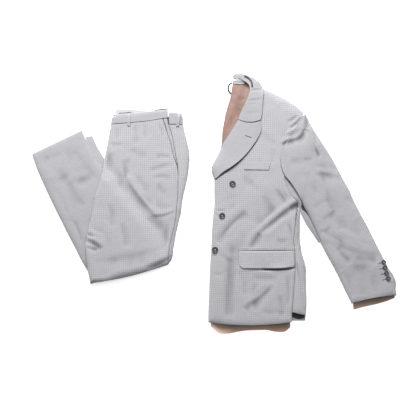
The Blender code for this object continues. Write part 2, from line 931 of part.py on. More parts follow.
def build_jacket_body(cloth, lining, hem_lining):
    """The jacket body: front, side strip, layers, and the linings that show."""
    front = loft(JACKET_FRONT, 2, 14, inset=(0, HALF_SEAM, 0, 0), bow=(-10, 9))
    upper = jacket_top(front[..., 0], front[..., 1])
    front_panel = wall("front_left", front, upper, upper - WALL, cloth)

    side = loft(JACKET_SIDE, 2, 4, inset=(HALF_SEAM, 0, 0, 0))
    upper = jacket_top(side[..., 0], side[..., 1])
    side_panel = wall("back_left", side, upper, upper - WALL, cloth)

    under = loft(JACKET_UNDER, 2, 3)
    upper = np.full(under.shape[:2], BACK_RIGHT_HEIGHT)
    wall("back_right", under, upper, np.zeros(under.shape[:2]), cloth)

    neck = loft(BACK_LINING, 2, 5)
    upper = np.maximum(jacket_top(neck[..., 0], neck[..., 1]) - NECK_DROP, LINING_LOWEST)
    lining_panel = wall("back_lining", neck, upper, upper - LINING_WALL, lining)

    inner = loft(BODY_LAYERS, 1, 12, bow=(-10, 9))
    x = inner[..., 0]
    y = inner[..., 1]
    cover = Surface(front_panel, side_panel, lining_panel).under(inner, reach=22)
    upper = np.minimum(cover, jacket_top(x, y) - WALL - neck_drop(x, y)) - LAYERS_BELOW
    layered("jacket_layers", inner, upper, cloth)

    lining_wall("hem_lining", HEM_LINING_EDGE, inner[0], hem_lining)
    return front_panel, lining_panel


def build_sleeve(cloth, hem_lining):
    """The left sleeve, spread beside the body."""
    plan = loft(TOP_SLEEVE, 2, 9, inset=(HALF_SEAM, 0, 0, 0), bow=(0, 5))
    upper = jacket_top(plan[..., 0], plan[..., 1])
    panel = wall("sleeve_top", plan, upper, upper - WALL, cloth)

    strip = loft(UNDER_SLEEVE, 2, 2, inset=(FACING_SEAM, FACING_SEAM, 0, 0))
    upper = np.broadcast_to(np.linspace(*UNDER_SLEEVE_HEIGHTS, 3), strip.shape[:2])
    wall("sleeve_under", strip, upper, upper - WALL, cloth)

    inner = loft(TOP_SLEEVE, 1, 7, inset=(LAYERS_INSET, LAYERS_INSET, 10, 9), bow=(0, 5))
    layered("sleeve_layers", inner, Surface(panel).under(inner, reach=14) - LAYERS_BELOW, cloth)

    lining_wall("cuff_lining", CUFF_LINING_EDGE, inner[-1], hem_lining)
    return panel


def build_collar(front_panel, lining_panel, cloth, white, black):
    """The lapel, collar leaf, collar stand, neck label and hanger loop."""
    plan = loft(LAPEL, 2, 6)
    ground = Surface(front_panel)
    lower = ground.over(plan, missing=-1.0)
    for j in range(plan.shape[1] - 2, -1, -1):
        bare = lower[:, j] < 0
        lower[bare, j] = lower[bare, j + 1] - LAPEL_TURN
    places = np.linspace(0, len(LAPEL) - 1, plan.shape[0])
    lift = np.interp(places, range(len(LAPEL)), LAPEL_LIFT)[:, None]
    lower = lower + LAY_GAP + lift * shares(6)[None, :] ** 1.5
    lapel = wall("lapel_left", plan, lower + WALL, lower, cloth)

    plan = loft(COLLAR, 2, 5)
    x = plan[..., 0]
    y = plan[..., 1]
    on_front = ground.over(plan, missing=0.0)
    lower = np.maximum(on_front, jacket_top(x, y)) + LAY_GAP
    collar = wall("collar_left", plan, lower + WALL, lower, cloth)

    plan = loft(COLLAR_STAND, 3, 3, inset=(0, 0, 0.7, 0))
    rise = jacket_top(plan[..., 0], plan[..., 1]) + LAY_GAP
    stand = wall("collar_stand", plan, rise + WALL, rise, cloth)

    plan = loft(rectangle(*LABEL, 3), 1, 5)
    lower = Surface(lining_panel).over(plan) + LAY_GAP
    wall("neck_label", plan, lower + TRIM_THIN, lower, white)

    hanger_loop("hanger_loop_right", LOOP_RIGHT, Surface(collar, stand), black)
    hanger_loop("hanger_loop_left", LOOP_LEFT, Surface(lining_panel), black)


def hanger_loop(name, place, ground, finish):
    """A flat woven tape that arches out of the collar."""
    middle_x, middle_y, radius, first_turn, last_turn = place
    inner = radius - LOOP_HALF_WIDTH
    outer = radius + LOOP_HALF_WIDTH
    rows = []
    for turn in np.radians(np.linspace(first_turn, last_turn, 11)):
        c = math.cos(turn)
        s = math.sin(turn)
        left = (middle_x + inner * c, middle_y + inner * s)
        right = (middle_x + outer * c, middle_y + outer * s)
        rows.append((*left, *right))
    plan = loft(rows, 1, 1)
    lower = ground.over(plan, reach=TRIM_REACH) + LAY_GAP
    lower = np.broadcast_to(lower.max(axis=1, keepdims=True), lower.shape)
    wall(name, plan, lower + TRIM_THIN, lower, finish)


def rectangle(corner_a, corner_b, corner_c, corner_d, rows):
    """Section rows across a four-sided piece, from its a-b edge to its d-c edge."""
    out = []
    for share in np.linspace(0, 1, rows + 1):
        left = np.array(corner_a) * (1 - share) + np.array(corner_d) * share
        right = np.array(corner_b) * (1 - share) + np.array(corner_c) * share
        out.append((*left, *right))
    return out


def rounded_flap(ground, finish):
    """The hip pocket flap, its lower corners rounded, standing off towards its free edge."""
    plan = loft(FLAP, 1, 10, crowd=0.3)
    share = np.linspace(0, 1, plan.shape[0])[:, None]
    lower = ground.over(plan) + LAY_GAP + FLAP_STANDOFF * share**1.5
    wall("hip_pocket_flap", plan, lower + WALL, lower, finish)


def build_pockets(front_panel, cloth):
    """Breast welt, and hip pocket jetting and flap."""
    ground = Surface(front_panel)
    plan = loft(rectangle(*WELT, 3), 1, 6, crowd=0)
    lower = ground.over(plan) + LAY_GAP
    wall("breast_pocket_welt", plan, lower + TRIM_WALL, lower, cloth)

    plan = loft(rectangle(*JETTING, 2), 1, 10, crowd=0)
    lower = ground.over(plan) + LAY_GAP
    wall("hip_pocket_jetting", plan, lower + TRIM_WALL, lower, cloth)
    rounded_flap(ground, cloth)


def button(name, place, radius, ground, finish):
    """A four-hole button: a turned disc with a raised rim, pierced four times."""
    sides = BUTTON_SIDES
    x, y = place
    around = [(math.cos(turn), math.sin(turn)) for turn in np.linspace(0, 2 * math.pi, 13)]
    base = max(ground.height(x + c * radius, y + s * radius) for c, s in around)
    base = max(base, ground.height(x, y)) + LAY_GAP
    thick = radius * BUTTON_THICKNESS
    points = [(x, y, base + BUTTON_PROFILE[0][1] * thick)]
    for share, height in BUTTON_PROFILE[1:-1]:
        for k in range(sides):
            turn = 2 * math.pi * k / sides
            reach = radius * share
            points.append((x + reach * math.cos(turn), y + reach * math.sin(turn), base + height * thick))
    points.append((x, y, base))
    last = len(points) - 1
    faces = []
    for k in range(sides):
        after = (k + 1) % sides
        faces.append((0, 1 + k, 1 + after))
        for ring in range(len(BUTTON_PROFILE) - 3):
            a = 1 + ring * sides
            b = a + sides
            faces.append((a + k, b + k, b + after, a + after))
        a = 1 + (len(BUTTON_PROFILE) - 3) * sides
        faces.append((a + k, last, a + after))
    made = add_object(name, points, faces, finish)
    for number in range(4):
        turn = math.pi / 4 + math.pi / 2 * number
        reach = radius * HOLE_PLACE
        hole = (x + reach * math.cos(turn), y + reach * math.sin(turn))
        pierce(made, hole, radius * HOLE_SIZE, base, thick)
    return made


def pierce(piece, place, radius, base, thick):
    """A thread hole cut right through a button."""
    bpy.ops.mesh.primitive_cylinder_add(
        vertices=HOLE_SIDES,
        radius=radius * MM,
        depth=thick * 3 * MM,
        location=((place[0] - CENTRE[0]) * MM, (place[1] - CENTRE[1]) * MM, (base + thick / 2) * MM),
    )
    cutter = bpy.context.object
    cut = piece.modifiers.new("hole", "BOOLEAN")
    cut.operation = "DIFFERENCE"
    cut.object = cutter
    bpy.context.view_layer.update()
    shape = piece.evaluated_get(bpy.context.evaluated_depsgraph_get())
    fresh = bpy.data.meshes.new_from_object(shape)
    piece.modifiers.clear()
    piece.data = fresh
    bpy.data.objects.remove(cutter)


def build_suit():
    """Both garments, each piece its own object."""
    for thing in list(bpy.data.objects):
        bpy.data.objects.remove(thing)
    cloth = material("grey_check_wool", CLOTH, 0.85)
    lining = material("rust_lining", LINING, 0.5)
    hem_lining = material("shaded_lining", HEM_LINING, 0.6)
    white = material("white_cotton", WHITE, 0.8)
    horn = material("dark_horn", HORN, 0.35)
    black = material("black_tape", BLACK, 0.7)
    build_trousers(cloth, white)
    front_panel, lining_panel = build_jacket_body(cloth, lining, hem_lining)
    sleeve = build_sleeve(cloth, hem_lining)
    build_collar(front_panel, lining_panel, cloth, white, black)
    build_pockets(front_panel, cloth)
    for number, place in enumerate(FRONT_BUTTONS):
        button(f"front_button_{number + 1}", place, FRONT_BUTTON_RADIUS, Surface(front_panel), horn)
    for number, place in enumerate(SLEEVE_BUTTONS):
        button(f"sleeve_button_{number + 1}", place, SLEEVE_BUTTON_RADIUS, Surface(sleeve), horn)


build_suit()
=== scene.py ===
"""The looks of a two-piece suit laid flat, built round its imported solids.

Plan tables are in millimetres, +X across, +Y towards the collar, +Z up from the surface, the
same as in the part's source. Every panel is a thin shell on its solid's form, with creases.
"""

import math

import bmesh
import bpy
import numpy as np
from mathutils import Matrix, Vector


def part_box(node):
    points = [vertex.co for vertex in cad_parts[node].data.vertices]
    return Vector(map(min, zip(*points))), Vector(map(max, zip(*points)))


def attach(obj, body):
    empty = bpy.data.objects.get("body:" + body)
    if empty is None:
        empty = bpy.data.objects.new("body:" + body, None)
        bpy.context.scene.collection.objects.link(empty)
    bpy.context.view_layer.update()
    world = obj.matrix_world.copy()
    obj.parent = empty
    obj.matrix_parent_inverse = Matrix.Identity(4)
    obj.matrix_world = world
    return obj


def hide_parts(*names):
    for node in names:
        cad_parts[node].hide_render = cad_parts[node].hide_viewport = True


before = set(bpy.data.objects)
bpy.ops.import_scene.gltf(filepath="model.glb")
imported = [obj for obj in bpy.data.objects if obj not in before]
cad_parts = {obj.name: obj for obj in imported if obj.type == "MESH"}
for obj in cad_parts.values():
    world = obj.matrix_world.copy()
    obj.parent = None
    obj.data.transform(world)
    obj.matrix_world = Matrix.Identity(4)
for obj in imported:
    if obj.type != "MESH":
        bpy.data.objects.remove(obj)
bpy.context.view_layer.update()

# Metres in a millimetre, and the plan point that lies at the frame's origin.
MM = 0.001
CENTRE = (-9.0, 9.219)

# How a garment rounds over at its outline, and how far each row of levels reaches.
ROUND_POWER = 2.2
BLEND = 20.0

# The plan direction towards the window.
TO_LIGHT = (-0.45, 0.89)

# Depth and reach of the dips at the side seam and the leg seam. The armhole's depth has two
# values, at the shoulder and under the arm.
SIDE_DIP = (1.8, 2.8)
LEG_DIP = (1.6, 2.6)
ARM_DIP = (0.2, 2.4)
ARM_REACH = 3.0

# How far past its seam a panel comes up again.
PAST_SEAM = 11.0

# Thickness of the cloths, and the air between a panel and what lies on it.
WOOL = 1.3
DOUBLE_WOOL = 1.9
SATIN = 0.6
LAY_GAP = 0.4
TRIM_RISE = 0.6
TRIM_WALL = 1.6

# How far panels stop short of their seams.
HALF_SEAM = 0.6
SLEEVE_SEAM = 0.12
FACING_SEAM = 1.3
SIDE_GROOVE = 1.3
BAND_SEAM = 1.0

# Heights above the surface, and above or below what a piece lies on. LINING_BEHIND is how far
# free lining goes back under its hem, and LINING_WAVE is how long its waves are.
NEAR_FLOOR = 0.7
FAR_LEG_HEIGHT = 4.0
BACK_RIGHT_HEIGHT = 4.0
LINING_LOWEST = 3.4
LINING_HEIGHTS = (1.8, 4.4)
LINING_BEHIND = 2.4
LINING_WAVE = 9.0
LINING_LEAST = 1.1
UNDER_SLEEVE_HEIGHTS = (6.0, 14.0)
POCKET_SINK = 0.8
BAND_RISE = 1.2
BELT_LOOP_HALF = 4.5
BELT_LOOP_WALL = 1.4
FLAP_STANDOFF = 2.4

# Where the under sleeve is painted with shadow below the arm: its place up the jacket, and its
# half width.
ARMPIT = -2.0
SPOT_HALF = 9.0

# Section rows across each panel.
# Columns: left_x, left_y, right_x, right_y.
JACKET_FRONT = [
    (-19, -383, 245, -382),
    (-18, -340, 247, -340),
    (-16, -295, 251, -295),
    (-15, -250, 255, -250),
    (-13, -205, 259, -205),
    (-10, -160, 258, -160),
    (-8, -118, 256, -118),
    (-6, -78, 261, -78),
    (-3, -44, 265, -40),
    (1, -8, 273, -4),
    (1, 24, 251, 20),
    (1, 54, 236, 52),
    (3, 80, 226, 86),
    (2, 108, 216, 124),
    (9, 138, 217, 156),
    (24, 170, 230, 188),
    (36, 200, 248, 211),
    (54, 228, 264, 233),
    (74, 262, 276, 256),
    (98, 304, 287, 278),
    (118, 346, 293, 289),
    (152, 386, 299, 303),
]

JACKET_SIDE = [
    (246.4, -351, 289, -362),
    (247, -340, 292, -330),
    (251, -295, 293, -285),
    (255, -250, 293, -240),
    (259, -205, 291, -200),
    (258, -160, 281, -160),
    (256, -118, 276, -118),
    (261, -78, 277, -78),
    (266.5, -40, 278.5, -40),
    (275.5, -5, 279.5, -7),
]

JACKET_UNDER = [
    (246.4, -377, 288, -377),
    (246.4, -364, 288.5, -362),
    (247, -350.8, 287.5, -332),
]

TOP_SLEEVE = [
    (290, 284, 304, 300),
    (266, 234, 324, 257),
    (232, 188, 345, 221),
    (219, 156, 363, 191),
    (218, 124, 381, 161),
    (228, 92, 399, 127),
    (248, 66, 420, 83),
    (266, 38, 439, 47),
    (284, 4, 455, 7),
    (302, -37, 474, -34),
    (320, -76, 494, -73),
    (338, -118, 514, -117),
    (358, -162, 536, -164),
    (381, -206, 556, -207),
    (402, -250, 577, -247),
    (419, -288, 578, -280),
    (436, -324, 580, -298),
]

UNDER_SLEEVE = [
    (224, 84, 234, 88),
    (232, 54, 254.2, 56),
    (245, 22, 272.7, 25),
    (272, -2, 287.2, -4),
    (281, -32, 300.4, -34),
    (294, -62, 313.2, -62),
    (312, -91, 325.7, -90),
    (336, -128, 341.7, -127),
]

BODY_LAYERS = [
    (-12, -372, 243, -372),
    (-12, -350, 243, -350),
    (-11, -322, 286, -330),
    (-9, -286, 288, -292),
    (-8, -244, 288, -244),
    (-7, -202, 286, -202),
    (-4, -160, 277, -160),
    (-2, -118, 272, -118),
    (0, -78, 273, -78),
    (4, -42, 273, -42),
    (7, -8, 266, -6),
    (8, 24, 247, 18),
    (8, 54, 232, 50),
    (9, 80, 221, 84),
    (9, 108, 211, 122),
    (14, 138, 212, 158),
    (26, 170, 226, 190),
    (34, 204, 244, 213),
    (40, 240, 260, 235),
    (48, 282, 271, 258),
    (60, 330, 279, 276),
    (72, 374, 284, 288),
    (100, 398, 286, 296),
]

BACK_LINING = [
    (23, 186, 30, 185),
    (26, 212, 48, 210),
    (28, 242, 64, 238),
    (34, 278, 84, 272),
    (42, 316, 104, 308),
    (53, 352, 124, 344),
    (59, 382, 138, 374),
    (63, 408, 136, 400),
    (66, 424, 126, 412),
]

LAPEL = [
    (-1, 82, 6, 79),
    (-7, 107, 30, 100),
    (-5, 124, 50, 112),
    (4, 143, 72, 128),
    (14, 162, 94, 148),
    (22, 180, 112, 168),
    (31, 198, 128, 190),
    (44, 217, 142, 212),
    (59, 241, 153, 237),
    (79, 275, 152, 268),
]

COLLAR = [
    (80, 278, 152, 274),
    (88, 300, 157, 296),
    (98, 322, 159, 320),
    (109, 345, 161, 346),
    (117, 368, 164, 371),
    (119, 384, 161, 388),
    (114, 398, 150, 405),
    (102, 409, 127, 423),
]

COLLAR_STAND = [
    (102, 409, 127, 423),
    (84, 420, 90, 437),
    (65, 421, 65, 433),
]

# The lining's free edge past the hem, the cuff and the waistband.
# Columns: x, y.
HEM_LINING_EDGE = [
    (-10, -396), (14, -416), (44, -418), (77, -412), (108, -408), (140, -407), (166, -407),
    (193, -412), (222, -412), (240, -399),
]

CUFF_LINING_EDGE = [
    (442, -343), (472, -335), (513, -326), (546, -317), (574, -306),
]

WAISTBAND_LINING_EDGE = [
    (-326, 317), (-295, 319), (-262, 316), (-221, 312),
]

# Section rows across the trouser pieces.
# Columns: left_x, left_y, right_x, right_y.
TROUSER_FRONT = [
    (-341, 263, -169, 281),
    (-345, 235, -155, 236),
    (-350, 200, -143, 200),
    (-356, 165, -134, 160),
    (-362, 130, -122, 124),
    (-366, 92, -117, 92),
    (-376, 56, -117, 56),
    (-386, 20, -118, 20),
    (-391, -18, -121, -18),
    (-398, -58, -124, -55),
    (-407, -98, -131, -92),
    (-412, -140, -139, -126),
    (-408, -182, -143, -152),
    (-401, -222, -145, -174),
    (-394, -261, -148, -201),
]

POCKET_FACING = [
    (-169, 281, -154, 283),
    (-160, 257, -150, 262),
    (-155, 236, -141, 236),
    (-143, 200, -133, 200),
    (-134, 160, -126, 160),
    (-122, 130, -119.5, 130),
]

TROUSER_BACK = [
    (-150, 261, -101, 261),
    (-141, 236, -96, 236),
    (-133, 200, -87, 200),
    (-126, 160, -81, 160),
    (-119, 126, -82, 126),
    (-117, 92, -86, 92),
    (-117, 56, -93, 56),
    (-118, 20, -101, 20),
    (-121, -18, -106, -18),
    (-124, -55, -113, -55),
    (-131, -92, -121, -92),
    (-139, -126, -127, -126),
    (-143, -152, -131, -150),
    (-145, -174, -133, -168),
    (-148, -201, -138, -186),
]

THIGH_LAYERS = [
    (-333, 284, -107, 286),
    (-337, 262, -105, 262),
    (-341, 235, -101, 236),
    (-346, 200, -92, 200),
    (-352, 165, -86, 160),
    (-358, 130, -87, 126),
    (-362, 92, -91, 92),
    (-372, 56, -98, 56),
    (-382, 20, -106, 20),
    (-387, -18, -111, -18),
    (-394, -58, -118, -55),
    (-402, -98, -126, -92),
    (-407, -140, -132, -126),
    (-403, -182, -137, -150),
    (-396, -222, -139, -168),
    (-387, -254, -147, -194),
]

WAISTBAND_FRONT = [
    (-341, 264, -338, 288),
    (-316, 266, -318, 300),
    (-288, 268, -288, 303),
    (-250, 271, -248, 305),
    (-214, 275, -212, 309),
    (-184, 280, -181, 314),
    (-153, 285, -153, 317),
]

WAISTBAND_BACK = [
    (-147, 263, -148, 301),
    (-132, 263, -132, 303),
    (-114, 263, -115, 302),
    (-102, 263, -103, 293),
]

LOWER_LEG = [
    (-598, 164, -437, 245),
    (-580, 117, -414, 197),
    (-556, 65, -388, 144),
    (-530, 12, -350, 98),
    (-502, -42, -312, 46),
    (-474, -95, -272, -4),
    (-446, -146, -230, -52),
    (-419, -196, -192, -106),
    (-394, -234, -170, -150),
]

FAR_LEG_HEM = [
    (-424, 222, -401, 226),
    (-411, 191, -387, 194),
    (-398, 164, -374, 172),
    (-385, 139, -360, 148),
    (-368, 117, -345, 126),
]

# Heights of the folded garments: the top of the cloth inside, at its outline, and how far in
# from the outline it rounds over.
# Columns: x, y, top, edge, round.
JACKET_LEVELS = [
    (-15, -300, 19, 9, 26),
    (-5, -60, 20, 9, 28),
    (0, 120, 22, 10, 30),
    (110, -400, 18, 10, 22),
    (120, -100, 21, 12, 40),
    (245, -385, 19, 13, 26),
    (290, -345, 20, 10, 24),
    (290, -220, 20, 5, 24),
    (276, -60, 21, 5, 24),
    (240, 100, 25, 6, 36),
    (40, 300, 21, 12, 20),
    (75, 425, 20, 14, 18),
    (160, 370, 27, 7, 34),
    (230, 330, 27, 5, 38),
    (320, 250, 26, 4, 38),
    (400, 110, 21, 4, 36),
    (470, -30, 19, 4, 34),
    (345, -140, 19, 7, 24),
    (540, -180, 17, 4, 30),
    (575, -290, 14, 5, 22),
    (430, -320, 14, 7, 18),
    (500, -312, 13, 9, 16),
]

THIGH_LEVELS = [
    (-341, 265, 13, 7, 16),
    (-355, 180, 14, 7, 18),
    (-250, 200, 14, 9, 20),
    (-150, 290, 14, 8, 14),
    (-95, 230, 13, 4, 18),
    (-85, 120, 14, 4, 20),
    (-105, 0, 14, 4, 18),
    (-130, -120, 14, 4, 18),
    (-366, 120, 14, 12, 16),
    (-378, 60, 14, 18, 14),
    (-395, -50, 14, 19, 16),
    (-410, -140, 14, 18, 18),
    (-398, -232, 14, 17, 16),
    (-392, -258, 14, 7, 16),
    (-270, -238, 15, 4, 30),
    (-150, -200, 14, 3, 32),
    (-230, -120, 15, 12, 24),
    (-180, 60, 14, 12, 20),
    (-300, 0, 14, 18, 24),
]

SHANK_LEVELS = [
    (-595, 161, 10, 6, 14),
    (-500, 100, 11, 6, 18),
    (-437, 240, 10, 6, 14),
    (-480, -90, 11, 5, 18),
    (-420, -170, 11, 5, 18),
    (-408, 182, 11, 6.8, 20),
    (-362, 112, 11, 6.4, 36),
    (-290, 20, 11, 4, 50),
    (-200, -90, 11, 4, 50),
    (-260, -180, 11, 5, 20),
]

# Broad soft folds: a ridge where the height is positive, a trough where it is negative.
# Columns: start_x, start_y, end_x, end_y, half_width, height.
JACKET_FOLDS = [
    (268, -8, 206, -56, 16, 2.2),
    (206, -56, 152, -108, 16, 2),
    (196, -24, 140, -70, 20, -1.8),
    (100, -48, 16, -129, 22, 1.8),
    (60, -140, 44, -360, 20, -1.8),
    (196, -279, 107, -329, 18, 1.4),
    (180, 60, 90, -20, 30, 1.2),
    (330, 180, 400, 95, 20, -1.6),
    (350, 60, 440, 20, 20, 1.6),
    (400, -60, 480, -90, 20, -1.5),
    (418, -145, 500, -168, 20, 1.8),
    (440, -230, 520, -240, 20, -1.4),
]

THIGH_FOLDS = [
    (-286, 84, -188, -41, 16, 2.2),
    (-188, -41, -132, -34, 14, 1.6),
    (-400, -120, -350, -130, 16, 1.6),
    (-300, 220, -320, 120, 20, 1),
    (-330, -200, -220, -190, 20, -1.4),
]

SHANK_FOLDS = [
    (-560, 120, -470, -60, 18, 0.9),
    (-480, 180, -420, 60, 18, -0.8),
]

# The fold of the lapel, where the jacket opens at the neck.
# Columns: x, y.
ROLL_LINE = [
    (-12, 60), (-7, 107), (4, 143), (22, 180), (44, 215), (79, 275), (98, 320), (118, 372),
    (126, 440),
]

# How far the thigh rises over the lower leg, and over what width past the leg's edge.
LEG_RISE = 12.0
LEG_RISE_OUT = 40.0
LEG_RISE_IN = 25.0

# How far the lapel's free edge stands off, a value for each of its rows.
LAPEL_LIFT = [0.8, 3, 4.5, 4, 2.4, 1.4, 1, 1, 2, 3.0]

# How far the collar's outer edge stands off.
COLLAR_LIFT = 1.4

# How far the seam between collar and lapel bows down.
GORGE_BOW = -8.0

# How far the neck opening sinks, and between which distances inside the roll line.
NECK_DROP = 9.5
NECK_DROP_FROM = 46.0
NECK_DROP_TO = 28.0

FRONT_BUTTONS = [(60, 60), (26, -45), (3, -155)]
FRONT_BUTTON_RADIUS = 10.0
SLEEVE_BUTTONS = [(541, -194), (544, -212), (548, -229), (553, -246)]
SLEEVE_BUTTON_RADIUS = 7.5

# Corners of small flat pieces, each from its lower left round to its upper left.
LABEL = ((66, 404), (102, 402), (102, 419), (66, 421))
WELT = ((98, 108), (177, 106), (183, 130), (103, 130))
JETTING = ((78, -156), (256, -157), (256, -150), (79, -149))

# The ends of the buttonholes' slits. Columns: start_x, start_y, end_x, end_y.
LAPEL_BUTTONHOLE = (103, 221, 122, 214)
FRONT_BUTTONHOLE = (12, -25, 33, -25)
SLEEVE_BUTTONHOLE_FROM_BUTTON = (-17.0, -4.5, -7.0, -1.0)

# The stitches round a slit, how far they stand proud, and the bars at the slit's ends.
BUTTONHOLE_HALF = 1.2
STITCH_PITCH = 0.8
STITCH_RADIUS = 0.36
SLIT_HALF = 0.15
STITCH_PROUD = 0.15
BAR_OUT = 0.3
BAR_PROUD = 0.1

# Section rows of the hip pocket flap, from its seam down.
# Columns: left_x, left_y, right_x, right_y.
FLAP = [
    (80, -158, 254, -159),
    (79, -172, 255, -172),
    (79, -186, 255, -187),
    (80, -200, 254, -201),
    (84, -208, 250, -209),
    (92, -213, 242, -214),
]

# Where the painted shadow of the jacket's inside begins above the under layer's hem. Columns: x, y.
INSIDE_ARC = [(246, -366), (255, -370), (266, -373), (277, -372), (284, -368), (290, -361)]

# The two ends of each belt loop's middle line. Columns: top_x, top_y, foot_x, foot_y.
BELT_LOOP_FRONT = (-282, 304, -281, 258)
BELT_LOOP_BACK = (-114, 299, -120, 256)

# The tape's arcs. Columns: middle_x, middle_y, radius, first_turn, last_turn.
LOOP_RIGHT = (88, 391, 38.5, -8, 70)
LOOP_LEFT = (66.5, 389, 19, 106, 256)
LOOP_HALF_WIDTH = 2.3
LOOP_OVER_COLLAR = 4.4
LOOP_STEPS = 60

# The label's fold, and how much higher the part above its foot lies.
LABEL_FOLD = 412.8
LABEL_RISE = 4.6

# Painted shade on the cloth's colour: how often its form is evened out to find the hollows, the
# depth at which a hollow is painted mostly dark and how sharply that sets in, how much darker
# edges that turn away from the light are painted, and between which turns.
SHADE_BLUR = 40
CREASE_DEEP = 2.6
CREASE_ONSET = 1.2
EDGE_SHADE = 0.5
EDGE_TURNED = (0.3, 0.9)

# A crease's form: how much wider its far side is at full lean, the low ridge on its lit side,
# whose height, place and width are shares of the crease's own, and its count of straight runs.
LEAN_REACH = 2.4
CREST_HEIGHT = 0.35
CREST_PLACE = 2.2
CREST_WIDTH = 1.3
CREASE_RUNS = 12

# How soon creases begin inside the outline.
CREASE_START = (2.5, 0.15)

# The unevenness of worn cloth. Columns: size, height.
RUMPLES = [(46, 0.42), (19, 0.20), (9, 0.07)]

# Where a button's holes are, and their size, as shares of its radius.
HOLE_PLACE = 0.26
HOLE_SIZE = 0.1

# Listed creases. A positive depth is a trough and a negative one is a ridge. Lean turns an
# even trough into a step that falls away from the light and comes back slowly.
# Columns: start_x, start_y, bend_x, bend_y, end_x, end_y, half_width, depth, lean.
FRONT_CREASES = [
    (282, 2, 222, -34, 138, -108, 6.5, 4.6, 0.9),
    (284, 4, 268, -10, 244, -20, 8, 3, 0.7),
    (146, -100, 134, -114, 112, -150, 6, 2.6, 0.8),
    (258, -40, 222, -58, 166, -112, 12, -1.3, 0),
    (106, -30, 60, -62, 8, -132, 11, 3.8, 0.8),
    (84, -58, 60, -82, 36, -118, 9, -0.9, 0),
    (62, -120, 46, -230, 38, -384, 12, 1.7, 0.9),
    (92, -100, 84, -150, 78, -210, 14, 1, 0.4),
    (30, -190, 24, -260, 26, -370, 9, -0.7, 0),
    (184, -268, 150, -310, 94, -342, 6.5, 3.2, 0.8),
    (172, -262, 150, -290, 122, -302, 5, 1.5, 0.6),
    (128, -262, 122, -300, 132, -350, 8, 1.2, 0.5),
    (206, -300, 214, -330, 210, -374, 9, 1.5, 0.5),
    (230, -236, 238, -280, 232, -330, 6, 1.6, 0.6),
    (2, -25, 18, -26, 37, -23, 2.4, 1, 0.5),
    (-2, -36, 8, -42, 17, -46, 3, 1, 0.5),
    (201, 42, 220, 24, 233, -3, 5, 2, 0.6),
    (218, 45, 230, 28, 238, 8, 3.5, 1.4, 0.5),
    (160, 20, 176, -6, 196, -24, 9, 1.2, 0.5),
    (238, -70, 250, -100, 254, -150, 5, 2, 0.6),
    (200, -120, 214, -128, 240, -122, 6, 1.2, 0.5),
    (96, 84, 132, 62, 150, 26, 10, 0.9, 0.3),
    (120, -238, 160, -246, 206, -238, 7, 1.3, 0.5),
    (80, -226, 100, -262, 92, -300, 9, 1.2, 0.4),
    (150, -346, 180, -356, 226, -350, 6, 1, 0.4),
    (22, -168, 34, -184, 62, -190, 6, 1.1, 0.4),
    (-8, -228, 14, -236, 30, -232, 5, 0.9, 0.4),
    (196, 178, 186, 150, 190, 128, 10, 0.9, 0.3),
    (160, 230, 176, 208, 206, 196, 9, 0.7, 0.3),
    (222, 189, 246, 202, 270, 206, 5.5, 4, 0.9),
    (266, 204, 292, 212, 300, 244, 6, 4.6, 0.8),
    (299, 236, 305, 262, 303, 286, 5, 3.6, 0.8),
    (244, 214, 268, 222, 286, 244, 9, 2.2, 0.6),
    (288, 282, 272, 262, 250, 246, 4, 2.4, 0.7),
    (276, 290, 262, 276, 240, 268, 4.5, 1.4, 0.5),
    (232, 226, 254, 234, 274, 256, 6, -1.6, 0),
    (214, 330, 236, 318, 262, 314, 9, 0.6, 0.2),
    (170, 360, 196, 340, 204, 318, 8, 0.6, 0.2),
    (146, 214, 112, 158, 56, 114, 2.8, 3.6, 0),
    (96, 146, 48, 104, 4, 78, 2.6, 6, 0),
    (12, 86, 0, 76, 0, 44, 2.2, 3, 0),
    (165, 380, 162, 340, 154, 262, 2.4, 1.7, 0),
    (84, 277, 122, 256, 155, 274, 2.6, 4, 0),
    (78, -158, 160, -159, 256, -158, 2.2, 2.6, 0),
    (92, -216, 140, -217, 190, -217, 2.6, 2, 0),
    (150, -216, 214, -221, 260, -211, 2.8, 7.5, 0),
]

